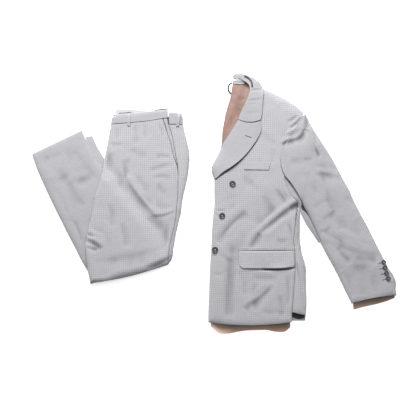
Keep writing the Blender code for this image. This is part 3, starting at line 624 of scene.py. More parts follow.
SLEEVE_CREASES = [
    (308, 240, 324, 200, 342, 150, 4, 2.6, 0.7),
    (325, 234, 332, 212, 334, 190, 3, 1.9, 0.6),
    (330, 176, 342, 164, 352, 150, 7, 0.8, 0.5),
    (306, 288, 308, 262, 304, 226, 4, 1.8, 0.6),
    (330, 92, 366, 100, 414, 74, 6, 1.8, 0.9),
    (330, 120, 368, 124, 404, 108, 8, 1.1, 0.6),
    (348, 112, 372, 40, 388, -76, 14, 2, 0.9),
    (318, 70, 336, 30, 346, -10, 14, 0.9, 0.5),
    (246, 140, 282, 132, 320, 144, 9, 0.9, 0.4),
    (290, 146, 306, 140, 324, 142, 5, 0.8, 0.4),
    (262, 96, 296, 84, 318, 92, 10, 0.8, 0.4),
    (344, -56, 366, -52, 392, -26, 6, 1.4, 0.7),
    (338, -97, 356, -96, 378, -80, 5, 1.3, 0.7),
    (314, -14, 340, -10, 370, 10, 8, 0.9, 0.5),
    (464, -50, 488, -76, 506, -116, 9, 2, 0.7),
    (452, -26, 470, -34, 480, -52, 9, 1, 0.4),
    (352, -104, 404, -112, 434, -162, 9, 1.7, 0.7),
    (398, -138, 440, -172, 528, -174, 10, 2.1, 0.8),
    (450, -182, 478, -192, 520, -186, 12, 1.4, 0.6),
    (344, -133, 378, -132, 404, -162, 10, 1.2, 0.6),
    (400, -160, 424, -178, 436, -198, 7, 1.8, 0.5),
    (402, -90, 440, -104, 474, -144, 12, -1.5, 0),
    (430, -214, 470, -206, 506, -214, 10, 1.5, 0.5),
    (408, -226, 430, -256, 438, -304, 8, 1.8, 0.6),
    (462, -244, 470, -270, 466, -300, 12, 0.8, 0.4),
    (500, -236, 510, -262, 512, -290, 12, 0.8, 0.4),
    (366, 168, 388, 128, 398, 104, 8, 1.2, 0.4),
    (398, 60, 420, 30, 430, 0, 8, 1.3, 0.4),
    (430, 20, 446, -4, 470, -18, 7, 1.1, 0.4),
    (296, 60, 326, 44, 352, 50, 9, 0.5, 0.4),
]

SIDE_CREASES = [
    (274, -138, 281, -160, 287, -190, 2.4, 6, 0.3),
    (262, -196, 271, -232, 275, -290, 3.6, 2.4, 0.5),
    (264, -100, 270, -118, 268, -142, 3, 1.8, 0.4),
    (270, -36, 273, -60, 268, -92, 3, 1.6, 0.4),
    (280, -246, 278, -286, 284, -330, 5, 1.6, 0.4),
]

THIGH_CREASES = [
    (-296, 130, -292, 104, -284, 82, 6, 1.2, 0.5),
    (-290, 92, -254, 22, -182, -50, 3, 1.6, 0.9),
    (-202, -42, -170, -50, -124, -28, 3, 1.8, 0.8),
    (-300, 60, -262, 2, -210, -52, 11, -0.9, 0),
    (-343, 166, -352, 120, -356, 72, 7, 3.2, 1),
    (-414, -120, -390, -128, -356, -152, 5, 3.8, 0.7),
    (-408, -146, -392, -152, -372, -154, 4, 2.2, 0.5),
    (-414, -104, -398, -106, -384, -114, 4, 2.6, 0.6),
    (-402, -90, -384, -100, -352, -112, 7, -1, 0),
    (-346, 192, -326, 198, -304, 195, 6, 1.1, 0.5),
    (-304, 130, -288, 138, -272, 140, 6, 1, 0.4),
    (-186, 62, -170, 46, -154, 30, 7, 1, 0.6),
    (-210, 106, -180, 124, -136, 127, 6, 1.2, 0.5),
    (-190, 156, -164, 158, -140, 152, 6, 1, 0.4),
    (-200, 82, -176, 92, -140, 86, 5, 1, 0.4),
    (-230, 30, -210, 10, -200, -14, 7, 1, 0.4),
    (-382, -194, -280, -184, -172, -156, 9, 1, 0.4),
    (-300, -70, -280, -110, -286, -150, 9, 1.1, 0.4),
    (-214, -86, -196, -116, -206, -160, 9, 1.1, 0.4),
    (-214, -214, -168, -202, -132, -176, 7, 3.4, 0.3),
    (-160, 270, -150, 244, -144, 214, 5, 1.2, 0.4),
    (-182, 268, -176, 244, -164, 222, 7, 1, 0.4),
    (-260, 262, -256, 226, -262, 190, 9, 0.9, 0.3),
    (-232, 262, -226, 240, -230, 210, 8, 0.8, 0.3),
    (-322, 252, -318, 226, -326, 204, 8, 0.9, 0.3),
    (-340, -6, -326, -40, -330, -80, 9, 1, 0.3),
    (-148, -70, -158, -100, -150, -136, 8, 0.8, 0.4),
    (-270, 180, -250, 160, -214, 158, 9, 0.9, 0.3),
]

SHANK_CREASES = [
    (-506, 116, -452, 35, -418, -10, 9, 1.1, 0.4),
    (-458, 180, -412, 115, -376, 72, 9, 1, 0.4),
    (-536, 78, -499, 9, -456, -66, 9, 1, 0.4),
    (-560, 150, -530, 148, -498, 166, 8, 0.8, 0.3),
    (-470, 60, -440, 78, -400, 86, 8, 0.9, 0.4),
    (-452, -60, -436, -90, -424, -130, 6, 1.2, 0.4),
    (-520, 60, -500, 84, -470, 96, 9, 0.7, 0.3),
]

COLLAR_CREASES = [
    (109, 338, 132, 343, 157, 345, 3.5, 1, 0.5),
    (108, 326, 126, 329, 146, 330, 3, 0.6, 0.4),
    (118, 374, 138, 378, 160, 378, 3, 1, 0.5),
    (104, 300, 130, 296, 156, 300, 6, 0.5, 0.2),
]

# Seams where two panels dip into each other.
# Columns: x, y.
SIDE_SEAM = [(row[2], row[3]) for row in JACKET_FRONT[:11]]
ARM_SEAM = [(row[2], row[3]) for row in JACKET_FRONT[10:15]]
ARM_SEAM += [(row[0], row[1]) for row in TOP_SLEEVE[3::-1]]
LEG_SEAM = [(row[2], row[3]) for row in TROUSER_FRONT]


def spline(points, places):
    """Points on a smooth curve through the given points, at places counted in rows."""
    table = np.array(points, float)
    last = len(table) - 1
    places = np.asarray(places, float)
    row = np.clip(places.astype(int), 0, last - 1)
    t = (places - row)[:, None]
    before = table[np.maximum(row - 1, 0)]
    start = table[row]
    end = table[row + 1]
    after = table[np.minimum(row + 2, last)]
    slope_in = (end - before) / 2
    slope_out = (after - start) / 2
    return (
        start * (2 * t**3 - 3 * t**2 + 1)
        + slope_in * (t**3 - 2 * t**2 + t)
        + end * (3 * t**2 - 2 * t**3)
        + slope_out * (t**3 - t**2)
    )


def shares(count, crowd=0.5):
    """Shares from 0 to 1, closer together near both ends."""
    even = np.linspace(0, 1, count + 1)
    return even * (1 - crowd) + (0.5 - 0.5 * np.cos(math.pi * even)) * crowd


def loft(rows, count, columns, inset=(0, 0, 0, 0), bow=(0, 0), crowd=0.7, crowd_rows=0.5):
    """Plan points across section rows. Insets trim the left, right, first and last edges."""
    last = len(rows) - 1
    ends = spline(rows, np.linspace(0, last, last * 4 + 1))
    middle = (ends[:, :2] + ends[:, 2:]) / 2
    length = np.linalg.norm(np.diff(middle, axis=0), axis=1).sum()
    places = shares(count, crowd_rows)
    trimmed = inset[2] / length + places * (1 - (inset[2] + inset[3]) / length)
    ends = spline(rows, trimmed * last)
    left = ends[:, :2]
    right = ends[:, 2:]
    across = right - left
    width = np.linalg.norm(across, axis=1)[:, None]
    direction = across / np.maximum(width, 1e-6)
    room = np.minimum(1, width * 0.4 / max(inset[0], inset[1], 1e-6))
    left = left + direction * inset[0] * room
    right = right - direction * inset[1] * room
    lean = bow[0] * np.maximum(0, 1 - places * 4) + bow[1] * np.maximum(0, places * 4 - 3)
    normal = np.stack([-direction[:, 1], direction[:, 0]], axis=1)
    share = shares(columns, crowd)[None, :, None]
    plan = left[:, None] + (right - left)[:, None] * share
    return plan + normal[:, None] * lean[:, None, None] * 4 * share * (1 - share)


def xy(plan):
    return plan[..., 0], plan[..., 1]


def to_path(path, x, y):
    """Distance to a path, the same signed (positive on its right), and the place along it."""
    nearest = np.full(np.shape(x), 1e9)
    signed = nearest
    place = np.zeros(np.shape(x))
    for index, ((ax, ay), (bx, by)) in enumerate(zip(path[:-1], path[1:])):
        run_x = bx - ax
        run_y = by - ay
        share = ((x - ax) * run_x + (y - ay) * run_y) / max(run_x**2 + run_y**2, 1e-9)
        share = np.clip(share, 0, 1)
        away_x = x - ax - share * run_x
        away_y = y - ay - share * run_y
        gap = np.hypot(away_x, away_y)
        closer = gap < nearest
        signed = np.where(closer, np.where(away_x * run_y >= away_y * run_x, gap, -gap), signed)
        place = np.where(closer, index + share, place)
        nearest = np.minimum(nearest, gap)
    return nearest, signed, place


def distance_to(path, x, y):
    return to_path(path, x, y)[0]


def side_of(path, x, y):
    return to_path(path, x, y)[1]


def ease(t):
    """A soft step from 0 to 1."""
    t = np.clip(t, 0, 1)
    return t * t * (3 - 2 * t)


def level(table, x, y):
    """Top height, outline height and rounding width, blended from the nearest table rows."""
    total = np.zeros(np.shape(x))
    values = [np.zeros(np.shape(x)) for _ in range(3)]
    for px, py, top, edge, rounding in table:
        weight = 1 / ((x - px) ** 2 + (y - py) ** 2 + BLEND**2) ** 2
        total = total + weight
        for index, value in enumerate((top, edge, rounding)):
            values[index] = values[index] + weight * value
    return [value / total for value in values]


def relief(folds, x, y):
    """Height that the soft folds add."""
    rise = np.zeros(np.shape(x))
    for ax, ay, bx, by, half_width, height in folds:
        run_x = bx - ax
        run_y = by - ay
        length = math.hypot(run_x, run_y)
        along = ((x - ax) * run_x + (y - ay) * run_y) / length
        off = np.abs((x - ax) * run_y - (y - ay) * run_x) / length
        fade_in = ease((along + half_width) / (2 * half_width))
        fade_out = ease((length + half_width - along) / (2 * half_width))
        rise = rise + height * fade_in * fade_out * (1 - ease(off / (2 * half_width)))
    return rise


def creased(table, x, y):
    """Height that the listed creases add: a trough that is steep on its lit side."""
    rise = np.zeros(np.shape(x))
    turns = np.linspace(0, 1, CREASE_RUNS + 1)
    weights = np.column_stack([(1 - turns) ** 2, 2 * turns * (1 - turns), turns**2])
    for ax, ay, bx, by, cx, cy, half_width, depth, lean in table:
        path = weights @ np.array([(ax, ay), (bx, by), (cx, cy)], float)
        _, off, place = to_path(path, x, y)
        along = place / CREASE_RUNS
        lit_on_right = (cy - ay) * TO_LIGHT[0] - (cx - ax) * TO_LIGHT[1] > 0
        away = -off if lit_on_right else off
        fade = np.clip(4 * along * (1 - along), 0, 1) ** 0.5
        width = half_width * (0.7 + 0.3 * fade)
        reach = np.where(away > 0, width * (1 + LEAN_REACH * lean), width)
        trough = np.exp(-((away / reach) ** 2))
        crest = np.exp(-(((away + CREST_PLACE * width) / (CREST_WIDTH * width)) ** 2))
        rise = rise + depth * fade * (CREST_HEIGHT * lean * crest - trough)
    return rise


def hashed(i, j, seed):
    """A repeatable value from 0 to 1 for each whole-number place."""
    value = np.sin(i * 127.1 + j * 311.7 + seed * 74.7) * 43758.5453
    return value - np.floor(value)


def swell(x, y, size, seed):
    """Smooth uneven swells about so many millimetres across, from -1 to 1."""
    u = x / size
    v = y / size
    i = np.floor(u)
    j = np.floor(v)
    s = ease(u - i)
    t = ease(v - j)
    low = hashed(i, j, seed) * (1 - s) + hashed(i + 1, j, seed) * s
    high = hashed(i, j + 1, seed) * (1 - s) + hashed(i + 1, j + 1, seed) * s
    return 2 * (low * (1 - t) + high * t) - 1


def rumple(x, y, seed):
    """The small unevenness of worn cloth that has been pressed and folded."""
    turned_place = (x * 0.8 + y * 0.6, y * 0.8 - x * 0.6)
    total = np.zeros(np.shape(x))
    for step, (size, height) in enumerate(RUMPLES):
        u, v = (x, y) if step == 1 else turned_place
        total = total + height * swell(u, v, size, seed + step)
    return total


def outline(*runs):
    """A closed outline from runs of plan points."""
    points = [tuple(point) for run in runs for point in run]
    return points + [points[0]]


def lefts(rows):
    return [(row[0], row[1]) for row in rows]


def rights(rows):
    return [(row[2], row[3]) for row in rows]


JACKET_OUTLINE = outline(
    lefts(JACKET_FRONT)[:12],
    lefts(LAPEL)[:6],
    lefts(BACK_LINING),
    [(63, 438), (90, 443), (131, 428), (154, 408), (165, 389)],
    [(196, 374), (233, 355), (269, 332)],
    rights(JACKET_FRONT)[-1:],
    rights(TOP_SLEEVE),
    [(550, -303), (522, -308), (496, -313), (463, -320)],
    lefts(TOP_SLEEVE)[:8:-1],
    [(282, 0)],
    rights(JACKET_SIDE)[::-1],
    [(247, -362), (246, -385), (193, -391), (150, -395), (112, -396), (56, -394), (12, -389)],
)

THIGH_OUTLINE = outline(
    lefts(TROUSER_FRONT),
    [(-332, -257), (-268, -242), (-205, -226)],
    rights(TROUSER_FRONT)[-1:],
    rights(TROUSER_BACK)[::-1],
    [(-103, 293), (-116, 303), (-153, 316), (-250, 305), (-320, 300), (-338, 288)],
)

SHANK_OUTLINE = outline(lefts(LOWER_LEG), rights(LOWER_LEG)[::-1])
LEG_EDGE = rights(LOWER_LEG)[2:] + [(-120, -200)]
JACKET_CREASES = FRONT_CREASES + SLEEVE_CREASES + SIDE_CREASES


def seam_dip(path, x, y, depth, reach):
    """How far cloth sinks towards a seam."""
    return -depth * np.exp(-((distance_to(path, x, y) / reach) ** 2))


def garment_height(table, folds, border, x, y, rise=0.0):
    """Top of the outermost cloth over a folded garment, before its creases."""
    top, edge, rounding = level(table, x, y)
    top = top + rise
    inward = np.clip(distance_to(border, x, y) / rounding, 0, 1)
    curve = (1 - (1 - inward) ** ROUND_POWER) ** (1 / ROUND_POWER)
    return edge + (top - edge) * curve + relief(folds, x, y) * inward, inward


def worn(table, seed, inward, x, y):
    """Height that a garment's creases and unevenness add, less near its outline."""
    slope, start = CREASE_START
    return (creased(table, x, y) + rumple(x, y, seed)) * ease(inward * slope + start)


def jacket_top(x, y):
    """Top of the jacket, with its creases and the dips at its seams."""
    height, inward = garment_height(JACKET_LEVELS, JACKET_FOLDS, JACKET_OUTLINE, x, y)
    arm_depth = ARM_DIP[0] + (ARM_DIP[1] - ARM_DIP[0]) * ease((100 - y) / 50)
    dips = seam_dip(SIDE_SEAM, x, y, *SIDE_DIP) + seam_dip(ARM_SEAM, x, y, arm_depth, ARM_REACH)
    return height + worn(JACKET_CREASES, 3, inward, x, y) + dips


def past_seam(path, depth, reach, x, y):
    """Takes back a seam's sharp dip and comes up from the seam slowly instead."""
    away = distance_to(path, x, y)
    return depth * (np.exp(-((away / reach) ** 2)) - np.exp(-((away / PAST_SEAM) ** 2)))


def side_top(x, y):
    return jacket_top(x, y) + past_seam(SIDE_SEAM, *SIDE_DIP, x, y)


def leg_rise(x, y):
    """How far the thigh is lifted where the lower leg lies folded beneath it."""
    return LEG_RISE * ease((side_of(LEG_EDGE, x, y) + LEG_RISE_OUT) / (LEG_RISE_OUT + LEG_RISE_IN))


def thigh_top(x, y):
    height, inward = garment_height(THIGH_LEVELS, THIGH_FOLDS, THIGH_OUTLINE, x, y, leg_rise(x, y))
    return height + worn(THIGH_CREASES, 11, inward, x, y) + seam_dip(LEG_SEAM, x, y, *LEG_DIP)


def leg_back_top(x, y):
    return thigh_top(x, y) + past_seam(LEG_SEAM, *LEG_DIP, x, y)


def shank_top(x, y):
    height, inward = garment_height(SHANK_LEVELS, SHANK_FOLDS, SHANK_OUTLINE, x, y)
    return height + worn(SHANK_CREASES, 23, inward, x, y)


def neck_drop(x, y):
    """How far the layers sink inside the neck opening, left of the roll line."""
    inside = side_of(ROLL_LINE, x, y)
    above = ease((y - 150) / 60)
    return NECK_DROP * above * ease((NECK_DROP_FROM - inside) / (NECK_DROP_FROM - NECK_DROP_TO))


def material(name, colour, roughness, sheen=0.0):
    """A Principled material, its constant values set on its own sockets."""
    made = bpy.data.materials.new(name)
    made.use_nodes = True
    shader = made.node_tree.nodes["Principled BSDF"]
    shader.inputs["Base Color"].default_value = (*colour, 1)
    shader.inputs["Roughness"].default_value = roughness
    shader.inputs["Metallic"].default_value = 0
    shader.inputs["Sheen Weight"].default_value = sheen
    shader.inputs["Sheen Roughness"].default_value = 0.5
    return made


class Graph:
    """Short names for the shader nodes that the materials share."""

    def __init__(self, finish):
        self.tree = finish.node_tree
        self.shader = self.tree.nodes["Principled BSDF"]

    def node(self, kind, **inputs):
        made = self.tree.nodes.new(kind)
        for key, value in inputs.items():
            self.feed(made.inputs[key.replace("_", " ")], value)
        return made

    def look(self, **inputs):
        """Feeds the shader's own inputs."""
        for key, value in inputs.items():
            self.feed(self.shader.inputs[key.replace("_", " ")], value)

    def feed(self, socket, value):
        if isinstance(value, bpy.types.NodeSocket):
            self.tree.links.new(value, socket)
        else:
            socket.default_value = value

    def math(self, operation, *values):
        made = self.tree.nodes.new("ShaderNodeMath")
        made.operation = operation
        for socket, value in zip(made.inputs, values):
            self.feed(socket, value)
        return made.outputs[0]

    def mix(self, share, first, second):
        made = self.tree.nodes.new("ShaderNodeMix")
        made.data_type = "FLOAT"
        self.feed(made.inputs[0], share)
        self.feed(made.inputs[2], first)
        self.feed(made.inputs[3], second)
        return made.outputs[0]

    def colour_mix(self, share, first, second, blend="MIX"):
        made = self.tree.nodes.new("ShaderNodeMix")
        made.data_type = "RGBA"
        made.blend_type = blend
        self.feed(made.inputs[0], share)
        for socket, value in ((made.inputs[6], first), (made.inputs[7], second)):
            self.feed(socket, value if isinstance(value, bpy.types.NodeSocket) else (*value, 1))
        return made.outputs[2]

    def cloth_place(self):
        """Places on the flat cloth, in metres along the weft and along the warp."""
        place = self.tree.nodes.new("ShaderNodeUVMap")
        place.uv_map = "cloth"
        split = self.node("ShaderNodeSeparateXYZ", Vector=place.outputs[0])
        return split.outputs[0], split.outputs[1]

    def shaded(self, colour):
        """The colour with painted shade: darkened in creases and where the cloth turns under."""
        shade = self.tree.nodes.new("ShaderNodeAttribute")
        shade.attribute_name = "shade"
        return self.colour_mix(shade.outputs["Fac"], colour, (0.0, 0.0, 0.0))

    def noise(self, scale, detail=2.0, roughness=0.5, stretch=None):
        place = self.tree.nodes.new("ShaderNodeTexCoord").outputs["Object"]
        if stretch:
            place = self.node("ShaderNodeMapping", Vector=place, Scale=stretch).outputs[0]
        made = self.node("ShaderNodeTexNoise", Vector=place, Scale=scale, Detail=detail)
        made.inputs["Roughness"].default_value = roughness
        return made.outputs["Fac"]

    def soft_step(self, value, last):
        """A soft rise from 0 at nothing to 1 at the last value."""
        made = self.node("ShaderNodeMapRange", Value=value, From_Max=last)
        made.interpolation_type = "SMOOTHSTEP"
        return made.outputs[0]

    def waves(self, value, pitch):
        return self.math("SINE", self.math("MULTIPLY", value, 2 * math.pi / pitch))

    def bump(self, height, distance, strength, below=None):
        made = self.node("ShaderNodeBump", Height=height, Distance=distance, Strength=strength)
        if below is not None:
            self.feed(made.inputs["Normal"], below)
        return made.outputs[0]


# The woven check: a thread's width, the threads of a small check and of a large one, and the
# width of the bands in which the large check comes and goes. Metres and counts.
THREAD = 0.00042
SMALL_CHECK = 8.0
LARGE_CHECK = 16.0
CHECK_BAND = 0.027
WARP_BAND = 0.5
WEFT_BAND = 0.4

# The patches in which the large check is stronger: contrast, offset and least share.
PATCHES = (3.6, -1.15, 0.15)

# The relief of the wool. Metres.
THREAD_DEPTH = 0.00012
CRUMPLE_DEPTH = 0.0022


def check_wool(name, light, dark, coarse=1.0, crumple=1.0):
    """Fine check wool: a two-and-two twill of light and dark threads."""
    finish = material(name, light, 0.88, sheen=0.1)
    g = Graph(finish)
    u, v = g.cloth_place()
    warp = g.math("DIVIDE", u, THREAD)
    weft = g.math("DIVIDE", v, THREAD)
    warp_count = g.math("FLOOR", warp)
    weft_count = g.math("FLOOR", weft)
    step = g.math("FLOORED_MODULO", g.math("ADD", warp_count, weft_count), 4.0)
    warp_over = g.math("LESS_THAN", step, 1.5)
    darks = []
    contrast, offset, least = PATCHES
    patches = g.math("MULTIPLY_ADD", g.noise(22.0, 2.0, 0.5), contrast, offset)
    patches = g.math("MINIMUM", g.math("MAXIMUM", patches, least), 1.0)
    for count, place, strength in ((warp_count, u, WARP_BAND), (weft_count, v, WEFT_BAND)):
        small, large = [
            g.math("LESS_THAN", g.math("FLOORED_MODULO", count, check), check / 2 - 0.5)
            for check in (SMALL_CHECK, LARGE_CHECK)
        ]
        band = g.math("FLOORED_MODULO", g.math("FLOOR", g.math("DIVIDE", place, CHECK_BAND)), 2.0)
        share = g.math("MAXIMUM", g.math("MULTIPLY", band, strength), patches)
        darks.append(g.mix(g.math("MULTIPLY", share, coarse), small, large))
    dark_here = g.mix(warp_over, darks[1], darks[0])
    mottle = g.noise(34.0, 4.0, 0.6)
    colour = g.colour_mix(dark_here, light, dark)
    colour = g.colour_mix(g.math("MULTIPLY", mottle, 0.2), colour, dark)
    round_warp, round_weft = [g.math("ABSOLUTE", g.waves(count, 2.0)) for count in (warp, weft)]
    thread = g.mix(warp_over, round_weft, round_warp)
    crumpled = g.bump(g.noise(48.0, 5.0, 0.6), CRUMPLE_DEPTH * crumple, 0.4)
    # The base colour carries painted shade in creases and on edges turned from the light.
    g.look(Base_Color=g.shaded(colour), Normal=g.bump(thread, THREAD_DEPTH, 0.5, crumpled))
    return finish


# How far in from its free edge, and along from its first end, the painted shade and light of a
# free lining grade across. Metres.
FADE_ACROSS = 0.022
FADE_ALONG = 0.09

# The lining's ribs and crinkles. Metres.
RIB_PITCH = 0.0007
RIB_DEPTH = 0.00005
CRINKLE_DEPTH = 0.0018


def ribs_and_crinkles(g, u, v):
    """The relief of lining: a fine diagonal twill over small crinkles."""
    ribs = g.waves(g.math("ADD", u, v), RIB_PITCH)
    crinkle = g.bump(g.noise(90.0, 3.0, 0.5, (1.0, 0.35, 1.0)), CRINKLE_DEPTH, 0.6)
    return g.bump(ribs, RIB_DEPTH, 0.4, crinkle)


def satin(name, light, dark, roughness=0.58):
    """Lining with a soft shine."""
    finish = material(name, light, roughness, sheen=0.1)
    g = Graph(finish)
    relief_of_lining = ribs_and_crinkles(g, *g.cloth_place())
    # The colour carries painted shade in creases and on edges turned from the light.
    colour = g.shaded(g.colour_mix(g.noise(26.0, 4.0, 0.6), light, dark))
    g.look(Base_Color=colour, Normal=relief_of_lining)
    return finish


def satin_with_painted_hem_shade(name, deep, light, pale):
    """Lining past a hem: painted shade deep under the hem, lighter at its free edge, painted light at
    one end.
    """
    finish = material(name, light, 0.5, sheen=0.1)
    g = Graph(finish)
    along, across = g.cloth_place()
    uneven = g.math("MULTIPLY_ADD", g.noise(40.0, 3.0, 0.6), 0.008, -0.004)
    near_edge = g.soft_step(g.math("ADD", across, uneven), FADE_ACROSS)
    near_end = g.soft_step(g.math("ADD", along, uneven), FADE_ALONG)
    # Painted shade under the hem, and painted light at the first end.
    edge_colour = g.colour_mix(near_end, pale, light)
    hem_colour = g.colour_mix(near_end, light, deep)
    colour = g.colour_mix(near_edge, edge_colour, hem_colour)
    g.look(Base_Color=colour, Normal=ribs_and_crinkles(g, along, across))
    return finish


def ribbed(name, light, dark, pitch, roughness):
    """Narrow woven goods, such as tape and labels: fine crosswise ribs."""
    finish = material(name, light, roughness)
    g = Graph(finish)
    u, v = g.cloth_place()
    both = g.math("MULTIPLY", g.waves(v, pitch), g.waves(u, pitch * 0.7))
    both = g.math("MULTIPLY_ADD", both, 0.5, 0.5)
    g.look(Base_Color=g.colour_mix(both, dark, light), Normal=g.bump(both, THREAD_DEPTH, 0.6))
    return finish


def horn(name):
    """Dark button horn with streaks and a worn satin shine."""
    finish = material(name, (0.05, 0.052, 0.055), 0.3)
    g = Graph(finish)
    streak = g.noise(220.0, 5.0, 0.65, (1.0, 0.25, 1.0))
    bands = g.math("POWER", streak, 1.6)
    g.look(
        Base_Color=g.colour_mix(bands, (0.008, 0.008, 0.01), (0.08, 0.08, 0.085)),
        Roughness=g.math("MULTIPLY_ADD", g.noise(400.0, 2.0), 0.25, 0.34),
        Normal=g.bump(streak, 0.0001, 0.25),
    )
    return finish


def twisted(name, colour, dark):
    """Sewing thread, with the twist of its plies."""
    finish = material(name, colour, 0.7, sheen=0.2)
    g = Graph(finish)
    ply = g.noise(1800.0, 2.0)
    g.look(Base_Color=g.colour_mix(ply, colour, dark), Normal=g.bump(ply, 0.0001, 0.5))
    return finish


WOOL_CLOTH = check_wool("grey_check_wool", (0.42, 0.42, 0.44), (0.262, 0.262, 0.282), 0.8)
# A copy of the check wool with a fainter check, which is real, and a darker tone, which is painted
# shade.
FINE_CLOTH = check_wool("grey_check_wool_fine", (0.375, 0.375, 0.395), (0.258, 0.258, 0.278), 0.4, 1.2)
# A darker copy of the check wool for the hidden layers and the under layer: painted shade.
UNDER_CLOTH = check_wool("grey_check_wool_inside", (0.34, 0.34, 0.36), (0.2, 0.2, 0.22))
# Near-black wool for the hidden layers' tops: painted shadow in the gaps between panels.
PAINTED_SHADOW_WOOL = check_wool("grey_check_wool_painted_shadow", (0.09, 0.09, 0.095), (0.05, 0.05, 0.055))
BODY_LINING = satin("rust_satin", (0.245, 0.142, 0.112), (0.18, 0.1, 0.078))
# Its colours are painted shade and light: deep under the hem, pale at the first end.
HEM_SATIN = satin_with_painted_hem_shade("brown_satin", (0.175, 0.106, 0.07), (0.31, 0.195, 0.14), (0.85, 0.66, 0.58))
# A darker copy of the hem's satin for the cuff: painted shade.
SHADED_CUFF_SATIN = satin_with_painted_hem_shade(
    "brown_satin_cuff_painted_shade", (0.085, 0.052, 0.038), (0.17, 0.108, 0.08), (0.26, 0.17, 0.13)
)
# Near-black satin: painted shadow inside the jacket's back hem and below the arm.
PAINTED_SHADOW_SATIN = satin("painted_shadow_satin", (0.022, 0.016, 0.014), (0.012, 0.009, 0.008), 0.7)
WHITE_COTTON = ribbed("white_cotton", (0.8, 0.8, 0.81), (0.7, 0.7, 0.72), 0.0006, 0.8)
OFF_WHITE = ribbed("off_white_cotton", (0.43, 0.43, 0.435), (0.36, 0.36, 0.37), 0.0006, 0.8)
GREY_LABEL_FOOT = ribbed("grey_label_foot", (0.55, 0.56, 0.58), (0.42, 0.43, 0.45), 0.0008, 0.8)
BLACK_TAPE = ribbed("black_tape", (0.022, 0.022, 0.024), (0.008, 0.008, 0.009), 0.0009, 0.65)
HORN = horn("dark_horn")
GREY_THREAD = twisted("grey_thread", (0.42, 0.42, 0.45), (0.26, 0.26, 0.29))
DARK_THREAD = twisted("dark_thread", (0.10, 0.10, 0.11), (0.05, 0.05, 0.055))


def place_in_metres(points):
    """Plan millimetres to metres in the frame."""
    points = np.asarray(points, float)
    moved = points - np.array([CENTRE[0], CENTRE[1], 0.0])
    return moved * MM


def add_mesh(name, points, faces, finish, flat=None, sharp=60):
    """A mesh object that rides on the part, with its places on the flat cloth."""
    mesh = bpy.data.meshes.new(name)
    mesh.from_pydata([tuple(p) for p in place_in_metres(points)], [], faces)
    if flat is not None:
        layer = mesh.uv_layers.new(name="cloth")
        corner = np.empty(len(mesh.loops), np.int32)
        mesh.loops.foreach_get("vertex_index", corner)
        layer.data.foreach_set("uv", (np.asarray(flat)[corner] * MM).astype(np.float32).ravel())
    for each in finish if isinstance(finish, (list, tuple)) else [finish]:
        mesh.materials.append(each)
    mesh.shade_smooth()
    mesh.set_sharp_from_angle(angle=math.radians(sharp))
    made = bpy.data.objects.new(name, mesh)
    bpy.context.scene.collection.objects.link(made)
    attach(made, "root")
    return made


def rim_of(rows, columns):
    """Row and column numbers round the border of a grid, once."""
    rim = [(0, j) for j in range(columns)]
    rim += [(i, columns - 1) for i in range(1, rows)]
    rim += [(rows - 1, j) for j in range(columns - 2, -1, -1)]
    rim += [(i, 0) for i in range(rows - 2, 0, -1)]
    return np.array(rim).T


def grid_faces(rows, columns):
    a = (np.arange(rows - 1)[:, None] * columns + np.arange(columns - 1)[None]).ravel()
    return np.stack([a, a + 1, a + columns + 1, a + columns], 1)


def band_faces(rings):
    """Faces between rings of points, each ring and the next."""
    return [
        np.stack([upper, lower, np.roll(lower, -1), np.roll(upper, -1)], 1)
        for upper, lower in zip(rings[:-1], rings[1:])
    ]


def unit(vectors):
    return vectors / np.maximum(np.linalg.norm(vectors, axis=-1, keepdims=True), 1e-9)


def turned(plan, grain):
    """Places on the flat cloth: the plan turned so that the warp runs along the grain."""
    angle = math.radians(grain)
    x, y = xy(plan)
    across = x * math.cos(angle) + y * math.sin(angle)
    return np.stack([across, y * math.cos(angle) - x * math.sin(angle)], -1)


def edge_of(grid, side):
    """A grid turned so that the named edge is its first row."""
    if side == "left":
        return np.swapaxes(grid, 0, 1)
    if side == "right":
        return np.swapaxes(grid, 0, 1)[::-1]
    return grid if side == "first" else grid[::-1]


def edge_back(grid, side):
    """The same grid turned back again."""
    if side in ("right", "last"):
        grid = grid[::-1]
    return np.swapaxes(grid, 0, 1) if side in ("left", "right") else grid


def turn_under(surface, flat, side, low, reach=3.0, steps=7, lip=3.0):
    """Extends one edge of a sheet round and under, as a fold does, down to a height."""
    grid = edge_of(surface, side)
    cut = edge_of(flat, side)
    rim = grid[0]
    out = unit((grid[0] - grid[3])[:, :2])
    flat_out = unit(cut[0] - cut[3])
    drop = np.maximum(rim[:, 2] - low, 0.2)
    radius = np.minimum(reach, drop)
    added = []
    added_flat = []
    travelled = np.zeros(len(rim))
    last = rim
    for k in range(1, steps + 1):
        turn = math.pi / 2 * k / steps
        inward = radius * (1 - math.cos(turn))
        point = np.column_stack([rim[:, :2] - out * inward[:, None], rim[:, 2] - drop * math.sin(turn)])
        travelled = travelled + np.linalg.norm(point - last, axis=1)
        added.append(point)
        added_flat.append(cut[0] + flat_out * travelled[:, None])
        last = point
    point = np.column_stack([last[:, :2] - out * lip, last[:, 2]])
    added.append(point)
    added_flat.append(cut[0] + flat_out * (travelled + lip)[:, None])
    grown = np.concatenate([np.array(added[::-1]), grid])
    grown_flat = np.concatenate([np.array(added_flat[::-1]), cut])
    return edge_back(grown, side), edge_back(grown_flat, side)


def blurred(grid, times):
    """A grid of values, each one evened out with its neighbours so many times."""
    for _ in range(times):
        wide = np.pad(grid, 1, mode="reflect", reflect_type="odd")
        grid = (wide[:-2, 1:-1] + wide[2:, 1:-1] + wide[1:-1, :-2] + wide[1:-1, 2:] + grid) / 5
    return grid


